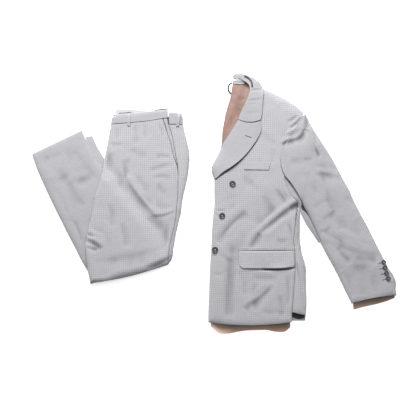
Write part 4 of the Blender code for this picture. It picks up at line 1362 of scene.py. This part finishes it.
def painted_crease_shade(surface, normal):
    """Painted shade, from 0 to 1, in creases and where the cloth turns under away from the light."""
    height = surface[..., 2]
    hollow = np.maximum(blurred(height, SHADE_BLUR) - height, 0)
    facing_off = -(normal[..., 0] * TO_LIGHT[0] + normal[..., 1] * TO_LIGHT[1])
    turned_off = ease((facing_off - EDGE_TURNED[0]) / (EDGE_TURNED[1] - EDGE_TURNED[0]))
    return 1 - np.exp(-((hollow / CREASE_DEEP) ** CREASE_ONSET)) * (1 - EDGE_SHADE * turned_off)


# How the cut edge of a cloth bulges. Columns: share of its thickness, bulge.
CUT_EDGE = [(0.15, 0.36), (0.5, 0.5), (0.85, 0.36)]


def shell(node, kind, surface, flat, thick, finish):
    """A thin sheet below its outer surface, its cut edges rounded like turned cloth."""
    rows, columns = surface.shape[:2]
    along = np.gradient(surface, axis=0)
    across = np.gradient(surface, axis=1)
    normal = unit(np.cross(across, along))
    mirrored = normal[rows // 2, columns // 2, 2] < 0
    if mirrored:
        normal = -normal
    inner = surface - normal * thick
    # Painted shade for the cloth's colour, darker in creases and on edges turned from the light.
    shade = painted_crease_shade(surface, normal)
    out = np.zeros_like(surface)
    out[0] += unit(surface[0] - surface[1])
    out[-1] += unit(surface[-1] - surface[-2])
    out[:, 0] += unit(surface[:, 0] - surface[:, 1])
    out[:, -1] += unit(surface[:, -1] - surface[:, -2])
    out = unit(out)
    i, j = rim_of(rows, columns)
    count = rows * columns
    points = [surface.reshape(-1, 3), inner.reshape(-1, 3)]
    places = [flat.reshape(-1, 2), flat.reshape(-1, 2)]
    shades = [shade.ravel(), shade.ravel()]
    rings = [i * columns + j]
    start = 2 * count
    for share, bulge in CUT_EDGE:
        ring = surface[i, j] * (1 - share) + inner[i, j] * share + out[i, j] * thick * bulge
        points.append(ring)
        places.append(flat[i, j])
        shades.append(shade[i, j])
        rings.append(start + np.arange(len(i)))
        start += len(i)
    rings.append(count + i * columns + j)
    top = grid_faces(rows, columns)
    faces = np.concatenate([top, count + top[:, ::-1], *band_faces(rings)])
    if mirrored:
        faces = faces[:, ::-1]
    name = f"{node}_{kind}"
    made = add_mesh(name, np.concatenate(points), faces.tolist(), finish, np.concatenate(places))
    # The painted shade goes on the mesh as its shade attribute.
    layer = made.data.attributes.new("shade", "FLOAT", "POINT")
    layer.data.foreach_set("value", np.concatenate(shades).astype(np.float32))
    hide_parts(node)
    return made


def panel(node, plan, top, grain, finish=None, thick=WOOL, folds=(), slot="suit_cloth", kind="cloth"):
    """A panel over a height function or grid, with some of its edges turned under."""
    surface = np.dstack([plan, top(*xy(plan)) if callable(top) else top])
    flat = turned(plan, grain)
    for side, low, reach in folds:
        surface, flat = turn_under(surface, flat, side, low, reach)
    return shell(node, kind, surface, flat, thick, finish or WOOL_CLOTH), flat


def cut_panel(node, plan, top, grain, held, rests_on, **looks):
    """A panel, as panel builds it; only the mesh is given back."""
    made, flat = panel(node, plan, top, grain, **looks)
    return made


# Air between a panel and the hidden layers below it, and the least height of those layers.
SHANK_AIR = 1.6
THIGH_AIR = 1.2
BODY_AIR = 1.7
NECK_AIR = 1.2
SLEEVE_AIR = 1.8
LEAST_LAYERS = 2.0
LEAST_BODY_LAYERS = 2.4

# Where the points round each folded layer's edge lie, as shares of its thickness.
LAYER_TURNS = (0.04, 0.2, 0.5, 0.8, 0.96)

# How a layer's edge bulges between its turns, and wanders along its length.
# Columns of the last two: how far, over what length.
LAYER_BULGE = 1.7
LAYER_INSET = 0.9
LAYER_SET_BACK = 0.3
LAYER_SWELL = (0.9, 70.0)
LAYER_RIPPLE = (0.5, 24.0)


def wander(around, height, size, seed):
    return height * swell(around, np.zeros_like(around), size, seed)


def stack(node, plan, top, base, layers, seed):
    """Hidden folded layers as one rounded solid: thin layers show at its edges."""
    rows, columns = plan.shape[:2]
    i, j = rim_of(rows, columns)
    border = plan[i, j]
    run = np.roll(border, -1, axis=0) - np.roll(border, 1, axis=0)
    normal = unit(np.stack([-run[:, 1], run[:, 0]], axis=1))
    after = np.roll(border, -1, axis=0)
    if (border[:, 0] * after[:, 1] - after[:, 0] * border[:, 1]).sum() > 0:
        normal = -normal
    around = np.cumsum(np.linalg.norm(after - border, axis=1))
    base = np.zeros((rows, columns)) + base
    heights = top[i, j]
    floor = base[i, j]
    points = [np.dstack([plan, top]).reshape(-1, 3)]
    flats = [plan.reshape(-1, 2)]
    rings = [i * columns + j]
    start = rows * columns
    depth = heights - floor
    for layer in range(layers):
        set_back = wander(around, *LAYER_SWELL, seed + layer) - LAYER_SET_BACK
        ripple = wander(around, *LAYER_RIPPLE, seed + 40 + layer)
        for turn in LAYER_TURNS:
            bulge = LAYER_BULGE * math.sin(math.pi * turn) ** 0.6 - LAYER_INSET
            z = heights - depth * (layer + turn) / layers + ripple * 0.3 * depth / layers
            ring = border + normal * (bulge + set_back + ripple)[:, None]
            points.append(np.column_stack([ring, np.maximum(z, floor)]))
            flats.append(np.column_stack([around, heights - z]))
            rings.append(start + np.arange(len(i)))
            start += len(i)
    points.append(np.column_stack([border - normal * 1.5, floor]))
    flats.append(border)
    rings.append(start + np.arange(len(i)))
    start += len(i)
    top_faces = grid_faces(rows, columns)
    inside = np.full((rows, columns), -1)
    inside[i, j] = rings[-1]
    interior = inside < 0
    inside[interior] = start + np.arange(interior.sum())
    points.append(np.column_stack([plan[interior], base[interior]]))
    flats.append(plan[interior])
    below = np.stack([inside[:-1, :-1], inside[1:, :-1], inside[1:, 1:], inside[:-1, 1:]], -1)
    faces = np.concatenate([top_faces, *band_faces(rings), below.reshape(-1, 4)]).tolist()
    finish = [UNDER_CLOTH, PAINTED_SHADOW_WOOL]
    made = add_mesh(node + "_cloth", np.concatenate(points), faces, finish, np.concatenate(flats))
    # The top faces are painted near black: shadow in the gaps between the panels above.
    for face in made.data.polygons[: len(top_faces)]:
        face.material_index = 1
    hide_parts(node)
    fix_facing(made)


def fix_facing(made):
    """Turns all faces of a closed mesh outward."""
    shape = bmesh.new()
    shape.from_mesh(made.data)
    bmesh.ops.recalc_face_normals(shape, faces=shape.faces)
    shape.to_mesh(made.data)
    shape.free()


def second_finish(piece, chosen):
    """Gives the second finish to the faces whose places in the plan are chosen."""
    centres = np.array([face.center for face in piece.data.polygons]) / MM
    for index in np.flatnonzero(chosen(centres[:, 0] + CENTRE[0], centres[:, 1] + CENTRE[1])):
        piece.data.polygons[index].material_index = 1


def build_trousers():
    """Lower legs, thigh, pocket facing, back strip, waist and hidden layers."""
    plan = loft(LOWER_LEG, 130, 56, crowd=0.8)
    cut_panel(
        "right_leg_lower", plan, shank_top, 25, "folded", ["lower_leg_layers_cloth"],
        finish=FINE_CLOTH, folds=(("left", NEAR_FLOOR, 3.0), ("right", NEAR_FLOOR, 3.0)),
    )
    inner = loft(LOWER_LEG, 60, 24, inset=(4.5, 4.5, 2.5, 3.5))
    top = shank_top(*xy(inner)) - WOOL - SHANK_AIR
    stack("lower_leg_layers", inner, np.maximum(top, LEAST_LAYERS), 0.0, 3, 61)

    plan = loft(FAR_LEG_HEM, 40, 16)
    cut_panel(
        "left_leg_hem", plan, FAR_LEG_HEIGHT + 0.3 * rumple(*xy(plan), 5), 25, "folded",
        ["lower_leg_layers_cloth"], folds=(("right", NEAR_FLOOR, 3.0),),
    )

    plan = loft(TROUSER_FRONT, 190, 84, inset=(0, HALF_SEAM, 0, 0), bow=(-3, -8), crowd=0.75)
    cut_panel(
        "left_leg_front", plan, thigh_top, 0, "folded",
        ["thigh_layers_cloth", "right_leg_lower_cloth"],
        folds=(("left", 3.5, 4.0), ("last", 1.2, 4.0)),
    )

    plan = loft(POCKET_FACING, 40, 10, inset=(FACING_SEAM, FACING_SEAM, 0, 0))
    upper = thigh_top(*xy(plan)) - POCKET_SINK
    cut_panel("pocket_facing", plan, upper, 0, "laid", ["thigh_layers_cloth"])

    plan = loft(TROUSER_BACK, 190, 20, inset=(SIDE_GROOVE, 0, 0, 0), crowd=0.75)
    cut_panel(
        "left_leg_back", plan, leg_back_top, 4, "folded", ["thigh_layers_cloth"],
        folds=(("right", 3.0, 3.0), ("last", 1.2, 4.0)),
    )
    build_waist()

    inner = loft(THIGH_LAYERS, 90, 34, inset=(0, 0, 3, 0), bow=(8, -8))
    top = thigh_top(*xy(inner)) - DOUBLE_WOOL - THIGH_AIR
    stack("thigh_layers", inner, top, np.minimum(base_under_thigh(*xy(inner)), top - 1.5), 3, 71)


def waistband(node, rows, count, columns, grain, loop_name, loop_place):
    plan = loft(rows, count, columns, inset=(BAND_SEAM, 0, 0, 0))
    upper = thigh_top(*xy(plan)) + BAND_RISE
    band, flat = panel(node, plan, upper, grain, FINE_CLOTH, DOUBLE_WOOL)
    belt_loop(loop_name, loop_place)


def build_waist():
    """Waistband, its white lining and the belt loops."""
    waistband("waistband_front", WAISTBAND_FRONT, 90, 22, 6, "belt_loop_front", BELT_LOOP_FRONT)
    waistband("waistband_back", WAISTBAND_BACK, 40, 18, 0, "belt_loop_back", BELT_LOOP_BACK)

    hem = np.array(THIGH_LAYERS[0]).reshape(2, 2)
    behind = [np.interp(x, hem[:, 0], hem[:, 1]) + LINING_BEHIND for x, _ in WAISTBAND_LINING_EDGE]
    plan = loft([(x, y, x, end) for (x, y), end in zip(WAISTBAND_LINING_EDGE, behind)], 60, 16)
    share = np.broadcast_to(shares(16, 0.7), plan.shape[:2])
    upper = LINING_HEIGHTS[0] + (LINING_HEIGHTS[1] - LINING_HEIGHTS[0]) * share
    cut_panel(
        "waistband_lining", plan, upper, 0, "laid", ["thigh_layers_cloth"],
        finish=OFF_WHITE, thick=0.9, slot="white_cotton", kind="cotton",
    )


def belt_loop(name, place):
    """A narrow folded strap over the waistband, tacked down at both ends."""
    top_x, top_y, foot_x, foot_y = place
    share = np.linspace(0, 1, 41)
    across = np.linspace(-BELT_LOOP_HALF, BELT_LOOP_HALF, 11)
    x = (top_x + (foot_x - top_x) * share)[:, None] + across[None]
    y = (top_y + (foot_y - top_y) * share)[:, None] + 0 * across[None]
    lift = 1.6 * np.sin(np.pi * np.clip((share - 0.06) / 0.8, 0, 1)) ** 0.7
    for tack in (0.93, 0.05):
        lift = lift - 0.5 * np.exp(-(((share - tack) / 0.02) ** 2))
    rounding = 0.25 * (across[None] / BELT_LOOP_HALF) ** 4
    upper = thigh_top(x, y) + BAND_RISE + LAY_GAP + BELT_LOOP_WALL + lift[:, None] - rounding
    return panel(name, np.stack([x, y], -1), upper, 0, thick=BELT_LOOP_WALL)[0]


def base_under_thigh(x, y):
    """Height of what the thigh's lowest layer lies on: the lower leg, or the surface."""
    on_leg = ease((side_of(LEG_EDGE, x, y) + 30) / 34)
    return on_leg * (shank_top(x, y) + 1.0)


def build_jacket_body():
    """Front, side strip, under layer, back lining, hidden layers and hem lining."""
    plan = loft(JACKET_FRONT, 250, 92, inset=(0, HALF_SEAM, 0, 0), bow=(-10, 9))
    upper = jacket_top(*xy(plan))
    cut_panel("front_left", plan, upper, -2, "folded", ["jacket_layers_cloth"])
    buttonhole("front_buttonhole", FRONT_BUTTONHOLE, np.dstack([plan, upper]), GREY_THREAD)

    plan = loft(JACKET_SIDE, 150, 22, inset=(SIDE_GROOVE, 0, 0, 0))
    cut_panel(
        "back_left", plan, side_top, 2, "folded", ["jacket_layers_cloth"],
        folds=(("right", 2.6, 3.0),),
    )

    plan = loft(JACKET_UNDER, 56, 48)
    upper = BACK_RIGHT_HEIGHT - 2.2 * ease((3 - inside_arc(*xy(plan))) / 4) + 0.3 * rumple(*xy(plan), 8)
    under = cut_panel(
        "back_right", plan, upper, 2, "folded", [],
        finish=[UNDER_CLOTH, PAINTED_SHADOW_SATIN], folds=(("right", NEAR_FLOOR, 2.0),),
    )
    # Above the arc the under layer is painted near black: the shadow inside the jacket.
    second_finish(under, lambda x, y: inside_arc(x, y) < 0)

    plan = loft(BACK_LINING, 110, 40)
    x, y = xy(plan)
    upper = np.maximum(jacket_top(x, y) - NECK_DROP + lining_folds(x, y), LINING_LOWEST)
    cut_panel(
        "back_lining", plan, upper, 12, "laid", ["jacket_layers_cloth"], finish=BODY_LINING,
        thick=SATIN, slot="body_lining", folds=(("left", 1.0, 2.0),), kind="satin",
    )

    inner = loft(BODY_LAYERS, 130, 44, bow=(-10, 9))
    drop = neck_drop(*xy(inner))
    top = jacket_top(*xy(inner)) - WOOL - BODY_AIR - np.where(drop > 0.2, drop + NECK_AIR, 0)
    stack("jacket_layers", inner, np.maximum(top, LEAST_BODY_LAYERS), 0.0, 5, 81)
    free_lining("hem_lining", HEM_LINING_EDGE, inner[0], HEM_SATIN, 17, 0.9)


def inside_arc(x, y):
    """How far below the edge of the painted shadow inside the jacket a place is, at the back hem."""
    return np.interp(x, [point[0] for point in INSIDE_ARC], [point[1] for point in INSIDE_ARC]) - y


def lining_folds(x, y):
    """Loose folds of the lining inside the neck."""
    long = 0.9 * np.sin((x * 0.93 - y * 0.36) / 5.2 + 0.8 * swell(x, y, 60, 5))
    short = 0.6 * swell(x, y, 14, 9)
    return (long * 0.7 + short) * ease((y - 190) / 50)


def free_lining(node, edge, hem, finish, seed, wave):
    """Lining that shows past a hem: it slopes down to the surface in soft waves."""
    hem = hem[hem[:, 0].argsort()]
    rows = [(x, y, x, np.interp(x, hem[:, 0], hem[:, 1]) - LINING_BEHIND) for x, y in edge]
    plan = loft(rows, 150, 26, crowd_rows=0.3)
    x, y = xy(plan)
    share = np.broadcast_to(shares(26, 0.7), plan.shape[:2])
    upper = LINING_HEIGHTS[0] + (LINING_HEIGHTS[1] - LINING_HEIGHTS[0]) * share
    turn = x / LINING_WAVE + 2.0 * swell(x, y, 40, seed)
    upper = upper + wave * np.sin(turn) * ease(share * 2) * 0.5
    step = np.linalg.norm(np.diff(plan[:, 0], axis=0), axis=1)
    along = np.broadcast_to(np.concatenate([[0], np.cumsum(step)])[:, None], share.shape)
    flat = np.dstack([along, np.linalg.norm(plan - plan[:, :1], axis=-1)])
    surface = np.dstack([plan, np.maximum(upper, LINING_LEAST)])
    surface, flat = turn_under(surface, flat, "left", NEAR_FLOOR, 1.2)
    shell(node, "satin", surface, flat, SATIN, finish)


def build_sleeve():
    """The sleeve spread beside the body, one folded tube."""
    plan = loft(TOP_SLEEVE, 210, 62, inset=(SLEEVE_SEAM, 0, 0, 0), bow=(0, 5))
    sleeve = np.dstack([plan, jacket_top(*xy(plan))])
    surface, flat = turn_under(sleeve, sleeve_flat(plan), "left", NEAR_FLOOR)
    surface, flat = turn_under(surface, flat, "right", NEAR_FLOOR)
    made = shell("sleeve_top", "cloth", surface, flat, WOOL, FINE_CLOTH)
    for number, (x, y) in enumerate(SLEEVE_BUTTONS, 1):
        ax, ay, bx, by = SLEEVE_BUTTONHOLE_FROM_BUTTON
        ends = (x + ax, y + ay, x + bx, y + by)
        buttonhole(f"sleeve_buttonhole_{number}", ends, sleeve, DARK_THREAD)

    strip = loft(UNDER_SLEEVE, 110, 12)
    low, high = UNDER_SLEEVE_HEIGHTS
    share = np.broadcast_to(shares(12, 0.7), strip.shape[:2])
    in_armpit = ease((strip[..., 1] + 20) / 40)
    upper = low + (high - low) * np.maximum(share, in_armpit) + 2.2 * np.sin(math.pi * share) * in_armpit
    upper = upper + 0.5 * rumple(*xy(strip), 33) - 1.2 * np.exp(-(((1 - share) / 0.2) ** 2))
    under = cut_panel(
        "sleeve_under", strip, upper, -30, "laid", ["sleeve_layers_cloth"],
        finish=[FINE_CLOTH, PAINTED_SHADOW_SATIN], folds=(("left", 1.0, 2.5), ("right", 1.0, 2.5)),
    )
    # The under sleeve is painted near black with shadow below the arm.
    second_finish(under, in_painted_arm_shadow)

    inner = loft(TOP_SLEEVE, 110, 26, inset=(5, 5, 12, 9), bow=(0, 5))
    top = jacket_top(*xy(inner)) - WOOL - SLEEVE_AIR
    stack("sleeve_layers", inner, np.maximum(top, LEAST_LAYERS), 0.0, 3, 91)
    free_lining("cuff_lining", CUFF_LINING_EDGE, inner[-1], SHADED_CUFF_SATIN, 29, 0.7)


def in_painted_arm_shadow(x, y):
    """Where the under sleeve is painted dark with shadow below the arm."""
    reach = SPOT_HALF * np.exp(-(((y - ARMPIT + 16) / 15) ** 2))
    return distance_to(rights(UNDER_SLEEVE), x, y) < reach


def sleeve_flat(plan):
    """The sleeve's places on the flat cloth: along it and across it."""
    middle = (plan[:, 0] + plan[:, -1]) / 2
    step = np.linalg.norm(np.diff(middle, axis=0), axis=1)
    down = -np.concatenate([[0], np.cumsum(step)])
    direction = unit(np.gradient(middle, axis=0))
    off_x, off_y = xy(plan - middle[:, None])
    across = off_x * direction[:, None, 1] - off_y * direction[:, None, 0]
    along = off_x * direction[:, None, 0] + off_y * direction[:, None, 1]
    return np.stack([-across, down[:, None] - along], -1)


def build_collar():
    """Lapel, collar leaf, collar stand, neck label and hanger loop."""
    plan = loft(LAPEL, 120, 40, bow=(0, GORGE_BOW))
    places = shares(120, 0.5) * (len(LAPEL) - 1)
    lift = np.interp(places, range(len(LAPEL)), LAPEL_LIFT)[:, None] * shares(40, 0.7) ** 1.5
    upper = smooth_ground(*xy(plan)) + LAY_GAP + WOOL + 1.0 + lift + 0.25 * rumple(*xy(plan), 41)
    lapel, flat = panel(
        "lapel_left", plan, upper, 32, FINE_CLOTH, DOUBLE_WOOL, folds=(("left", 8.0, 3.0),)
    )
    buttonhole("lapel_buttonhole", LAPEL_BUTTONHOLE, np.dstack([plan, upper]), DARK_THREAD)

    plan = loft(COLLAR, 110, 34, bow=(GORGE_BOW, 0))
    upper = smooth_ground(*xy(plan)) + LAY_GAP + WOOL + 1.2 + creased(COLLAR_CREASES, *xy(plan))
    cut_panel(
        "collar_left", plan, upper + COLLAR_LIFT * shares(34, 0.7) ** 3, -8, "folded",
        ["front_left_cloth"], finish=FINE_CLOTH, thick=DOUBLE_WOOL, folds=(("left", 9.0, 3.0),),
    )

    plan = loft(COLLAR_STAND, 50, 18, inset=(0, 0, 0.7, 0))
    upper = smooth_ground(*xy(plan)) + LAY_GAP + WOOL
    stand, flat = panel("collar_stand", plan, upper, 90, FINE_CLOTH, DOUBLE_WOOL)
    loops = [hanger_loop("hanger_loop_right", LOOP_RIGHT), hanger_loop("hanger_loop_left", LOOP_LEFT)]

    plan = patch(*np.array(LABEL, float), 16, 40)
    rise = LABEL_RISE * ease((plan[..., 1] - 404) / 12)
    label = cut_panel(
        "neck_label", plan, neck_floor(plan) + LAY_GAP + rise + 0.9, 0, "laid", ["back_lining_satin"],
        finish=[WHITE_COTTON, GREY_LABEL_FOOT], thick=0.5, slot="white_cotton", kind="cotton",
    )
    # Below its fold the label is grey.
    second_finish(label, lambda x, y: y < LABEL_FOLD)


def buttonhole(name, ends, ground, finish):
    """A worked buttonhole: two rows of close stitches, with a bar at each end."""
    ax, ay, bx, by = ends
    length = math.hypot(bx - ax, by - ay)
    run = np.array([(bx - ax) / length, (by - ay) / length])
    side = np.array([-run[1], run[0]])
    start = np.array([ax, ay])
    paths = []
    for along in np.arange(0.0, length, STITCH_PITCH):
        for half in (-1, 1):
            inner = start + run * along + side * half * SLIT_HALF
            outer = start + run * along + side * half * BUTTONHOLE_HALF
            paths.append([(*inner, height_on(ground, inner)), (*outer, height_on(ground, outer))])
    for along in (-BAR_OUT, length):
        bar = [start + run * along + side * off for off in (-BUTTONHOLE_HALF, 0.0, BUTTONHOLE_HALF)]
        paths.append([(*point, height_on(ground, point) + BAR_PROUD) for point in bar])
    tubes(name + "_thread", paths, STITCH_RADIUS, finish)


def height_on(ground, point):
    """Height of the nearest grid point of a sheet, a little proud."""
    gap = (ground[..., 0] - point[0]) ** 2 + (ground[..., 1] - point[1]) ** 2
    return ground.reshape(-1, 3)[gap.argmin(), 2] + STITCH_PROUD


def smooth_ground(x, y):
    """The jacket's top without its fine creases, for stiff pieces that lie on it."""
    height, _ = garment_height(JACKET_LEVELS, JACKET_FOLDS, JACKET_OUTLINE, x, y)
    return height


def neck_floor(plan):
    height = smooth_ground(*xy(plan)) - NECK_DROP
    return np.maximum(height, LINING_LOWEST) + 1.0


def patch(a, b, c, d, rows, columns):
    """Plan points of a four-sided piece, from its a-b edge to its d-c edge."""
    down = shares(rows, 0.6)[:, None, None]
    across = shares(columns, 0.6)[None, :, None]
    first = a + (b - a) * across
    last = d + (c - d) * across
    return first + (last - first) * down


def hanger_loop(name, place):
    """A flat woven tape that arches out of the collar."""
    middle_x, middle_y, radius, first_turn, last_turn = place
    turns = np.radians(np.linspace(first_turn, last_turn, LOOP_STEPS))[:, None]
    offsets = np.linspace(-LOOP_HALF_WIDTH, LOOP_HALF_WIDTH, 7)[None]
    x = middle_x + (radius + offsets) * np.cos(turns)
    y = middle_y + (radius + offsets) * np.sin(turns)
    low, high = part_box(name)
    top = high.z / MM
    base = low.z / MM
    if name.endswith("left"):
        fall = np.linspace(1, 0, LOOP_STEPS)[:, None] ** 0.8
        upper = base + 1.0 + (top - base - 1.0) * fall + 0 * x
    else:
        arch = 0.8 * np.sin(np.linspace(0, math.pi, LOOP_STEPS))[:, None]
        upper = np.minimum(smooth_ground(x, y) + LOOP_OVER_COLLAR + arch, top)
    flat = np.stack([offsets + 0 * x, turns * radius + 0 * x], -1)
    surface = np.stack([x, y, upper], -1)
    return shell(name, "tape", surface, flat, 0.7, BLACK_TAPE)


def build_pockets():
    """Breast welt, hip pocket jetting and flap."""
    plan = patch(*np.array(WELT, float), 24, 60)
    upper = jacket_top(*xy(plan)) + TRIM_RISE + TRIM_WALL
    cut_panel("breast_pocket_welt", plan, upper, 0, "laid", ["front_left_cloth"])

    plan = patch(*np.array(JETTING, float), 12, 90)
    groove = 1.0 * np.exp(-(((shares(12, 0.6)[:, None] - 0.5) / 0.16) ** 2))
    upper = jacket_top(*xy(plan)) + TRIM_RISE + TRIM_WALL - groove
    jet, _ = panel("hip_pocket_jetting", plan, upper, 0)

    plan = loft(FLAP, 40, 90, crowd=0.4)
    down = shares(40, 0.5)[:, None]
    across = shares(90, 0.4)[None, :]
    gape = 0.5 + 0.3 * np.sin(across * 9.0)
    gape = gape + 1.3 * ease((across - 0.4) / 0.3) * ease((1.0 - across) / 0.12)
    upper = jacket_top(*xy(plan)) + TRIM_RISE + WOOL + 0.6 + FLAP_STANDOFF * down**1.6 * gape
    flap, flat = panel("hip_pocket_flap", plan, upper, -1, thick=DOUBLE_WOOL)


# How many sides a button has, and the directions of its four holes.
BUTTON_SIDES = 48
HOLE_TURNS = [math.pi / 4 + math.pi / 2 * k for k in range(4)]

# Half a button's section, from the middle of its face round to the middle of its back.
# Columns: share of radius, share of thickness.
TURNED_PROFILE = [
    (0.0, 0.52),
    (0.40, 0.53),
    (0.58, 0.58),
    (0.68, 0.80),
    (0.78, 0.95),
    (0.88, 0.97),
    (0.96, 0.84),
    (1.0, 0.60),
    (0.97, 0.36),
    (0.84, 0.14),
    (0.60, 0.03),
    (0.0, 0.0),
]


def turned_point(x, y, radius, turn, z=0.0):
    return (x + radius * math.cos(turn), y + radius * math.sin(turn), z)


def build_button(name, place, radius):
    """A turned button with a raised rim, four real holes and crossed threads."""
    x, y = place
    low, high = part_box(name)
    base = low.z / MM
    thick = high.z / MM - base
    points = [(x, y, base + TURNED_PROFILE[0][1] * thick)]
    for share, height in TURNED_PROFILE[1:-1]:
        for turn in np.linspace(0, 2 * math.pi, BUTTON_SIDES, endpoint=False):
            points.append(turned_point(x, y, radius * share, turn, base + height * thick))
    points.append((x, y, base))
    last = len(points) - 1
    rings = len(TURNED_PROFILE) - 3
    faces = []
    for k in range(BUTTON_SIDES):
        after = (k + 1) % BUTTON_SIDES
        faces.append((0, 1 + k, 1 + after))
        for ring in range(rings):
            a = 1 + ring * BUTTON_SIDES
            b = a + BUTTON_SIDES
            faces.append((a + k, b + k, b + after, a + after))
        a = 1 + rings * BUTTON_SIDES
        faces.append((a + k, last, a + after))
    made = add_mesh(name + "_horn", points, faces, HORN, sharp=40)
    for turn in HOLE_TURNS:
        drill(made, turned_point(x, y, radius * HOLE_PLACE, turn, base + thick / 2), radius, thick)
    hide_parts(name)
    button_thread(name + "_thread", x, y, radius, base, thick)


def drill(piece, place, radius, thick):
    """A thread hole right through a button."""
    centre = tuple(place_in_metres([place])[0])
    bpy.ops.mesh.primitive_cylinder_add(
        vertices=12, radius=radius * HOLE_SIZE * MM, depth=thick * 3 * MM, location=centre
    )
    cutter = bpy.context.object
    cut = piece.modifiers.new("hole", "BOOLEAN")
    cut.operation = "DIFFERENCE"
    cut.object = cutter
    bpy.context.view_layer.update()
    shape = piece.evaluated_get(bpy.context.evaluated_depsgraph_get())
    fresh = bpy.data.meshes.new_from_object(shape)
    piece.modifiers.clear()
    piece.data = fresh
    bpy.data.objects.remove(cutter)


def button_thread(name, x, y, radius, base, thick):
    """Two crossed bundles of thread over a button, their ends down in its holes."""
    paths = []
    sag = base + TURNED_PROFILE[0][1] * thick
    for first in (0, 1):
        turn = HOLE_TURNS[first]
        for strand in (-1, 0, 1):
            side_x, side_y, _ = turned_point(x, y, strand * radius * 0.035, turn + math.pi / 2)
            path = []
            for share in np.linspace(-1.15, 1.15, 13):
                z = sag + radius * (0.05 + 0.05 * math.cos(share * math.pi / 2) + first * 0.04)
                if abs(share) > 1:
                    z = sag - thick * 0.3
                path.append(turned_point(side_x, side_y, radius * HOLE_PLACE * share, turn, z))
            paths.append(path)
    tubes(name, paths, radius * 0.028, GREY_THREAD)


def tubes(name, paths, radius, finish, sides=6):
    """Thin round threads along several paths, joined in one mesh."""
    points = []
    faces = []
    turns = np.linspace(0, 2 * math.pi, sides, endpoint=False)
    for path in paths:
        path = np.array(path, float)
        run = unit(np.gradient(path, axis=0))
        side = np.cross(run, [0.0, 0.0, 1.0])
        side[np.linalg.norm(side, axis=1) < 1e-3] = [1.0, 0.0, 0.0]
        side = unit(side)
        top = np.cross(side, run)
        start = len(points)
        last = start + (len(path) - 1) * sides
        for middle, out, up in zip(path, side, top):
            points += [middle + radius * (out * math.cos(turn) + up * math.sin(turn)) for turn in turns]
        for a in range(start, last, sides):
            for s in range(sides):
                b = a + (s + 1) % sides
                faces.append((a + s, b, b + sides, a + s + sides))
        faces.append(tuple(start + s for s in reversed(range(sides))))
        faces.append(tuple(last + s for s in range(sides)))
    made = add_mesh(name, points, faces, finish, sharp=80)


# The lamps. Columns: name, place, target, size, power.
LAMPS = [
    ("window", (-0.45, 2.35, 1.6), (0.0, 0.0, 0.0), 1.4, 147.0),
    ("overhead", (0.7, 0.6, 2.8), (0.1, 0.0, 0.0), 2.4, 36.0),
]
ROOM_LIGHT = 0.31
FLOOR_SIZE = 40
FLOOR_BELOW = -0.0005


def build_stage():
    """A pale floor, and soft light from the collar end."""
    bpy.ops.mesh.primitive_plane_add(size=FLOOR_SIZE, location=(0, 0, FLOOR_BELOW))
    floor = bpy.context.object
    floor.name = "pale_floor"
    paper = material("pale_paper", (0.93, 0.93, 0.93), 0.9)
    Graph(paper).look(Emission_Color=(1.0, 0.99, 0.98, 1), Emission_Strength=0.5)
    floor.data.materials.append(paper)

    world = bpy.data.worlds.new("studio")
    world.use_nodes = True
    background = world.node_tree.nodes["Background"]
    background.inputs["Color"].default_value = (1.0, 1.0, 1.0, 1)
    background.inputs["Strength"].default_value = ROOM_LIGHT
    bpy.context.scene.world = world
    for values in LAMPS:
        lamp(*values)
    bpy.context.scene.view_settings.view_transform = "Standard"


def lamp(name, place, target, size, power):
    data = bpy.data.lights.new(name, "AREA")
    data.size = size
    data.energy = power
    made = bpy.data.objects.new(name, data)
    bpy.context.scene.collection.objects.link(made)
    made.location = place
    made.rotation_euler = (Vector(target) - Vector(place)).to_track_quat("-Z", "Y").to_euler()


# The photograph's camera: plan millimetres that it looks at, its distance, its tilt, and its
# focal length over the frame's width.
LOOK_AT = (-13.0, -22.0, 0.0)
CAMERA_DISTANCE = 2400.0
CAMERA_TILT = 10.0
FOCAL_OVER_FRAME = 738.46 / 420.0


def build_camera():
    tilt = math.radians(CAMERA_TILT)
    stand = (LOOK_AT[0], LOOK_AT[1] - CAMERA_DISTANCE * math.sin(tilt), CAMERA_DISTANCE * math.cos(tilt))
    eye, target = place_in_metres([stand, LOOK_AT])
    data = bpy.data.cameras.new("camera")
    data.sensor_width = 36.0
    data.lens = 36.0 * FOCAL_OVER_FRAME
    data.clip_start = 0.05
    data.clip_end = 50.0
    made = bpy.data.objects.new("camera", data)
    bpy.context.scene.collection.objects.link(made)
    made.location = tuple(eye)
    made.rotation_mode = "QUATERNION"
    made.rotation_quaternion = (Vector(target) - Vector(eye)).to_track_quat("-Z", "Y")
    bpy.context.scene.camera = made


build_stage()
build_camera()
build_trousers()
build_jacket_body()
build_sleeve()
build_collar()
build_pockets()
for number, place in enumerate(FRONT_BUTTONS, 1):
    build_button(f"front_button_{number}", place, FRONT_BUTTON_RADIUS)
for number, place in enumerate(SLEEVE_BUTTONS, 1):
    build_button(f"sleeve_button_{number}", place, SLEEVE_BUTTON_RADIUS)
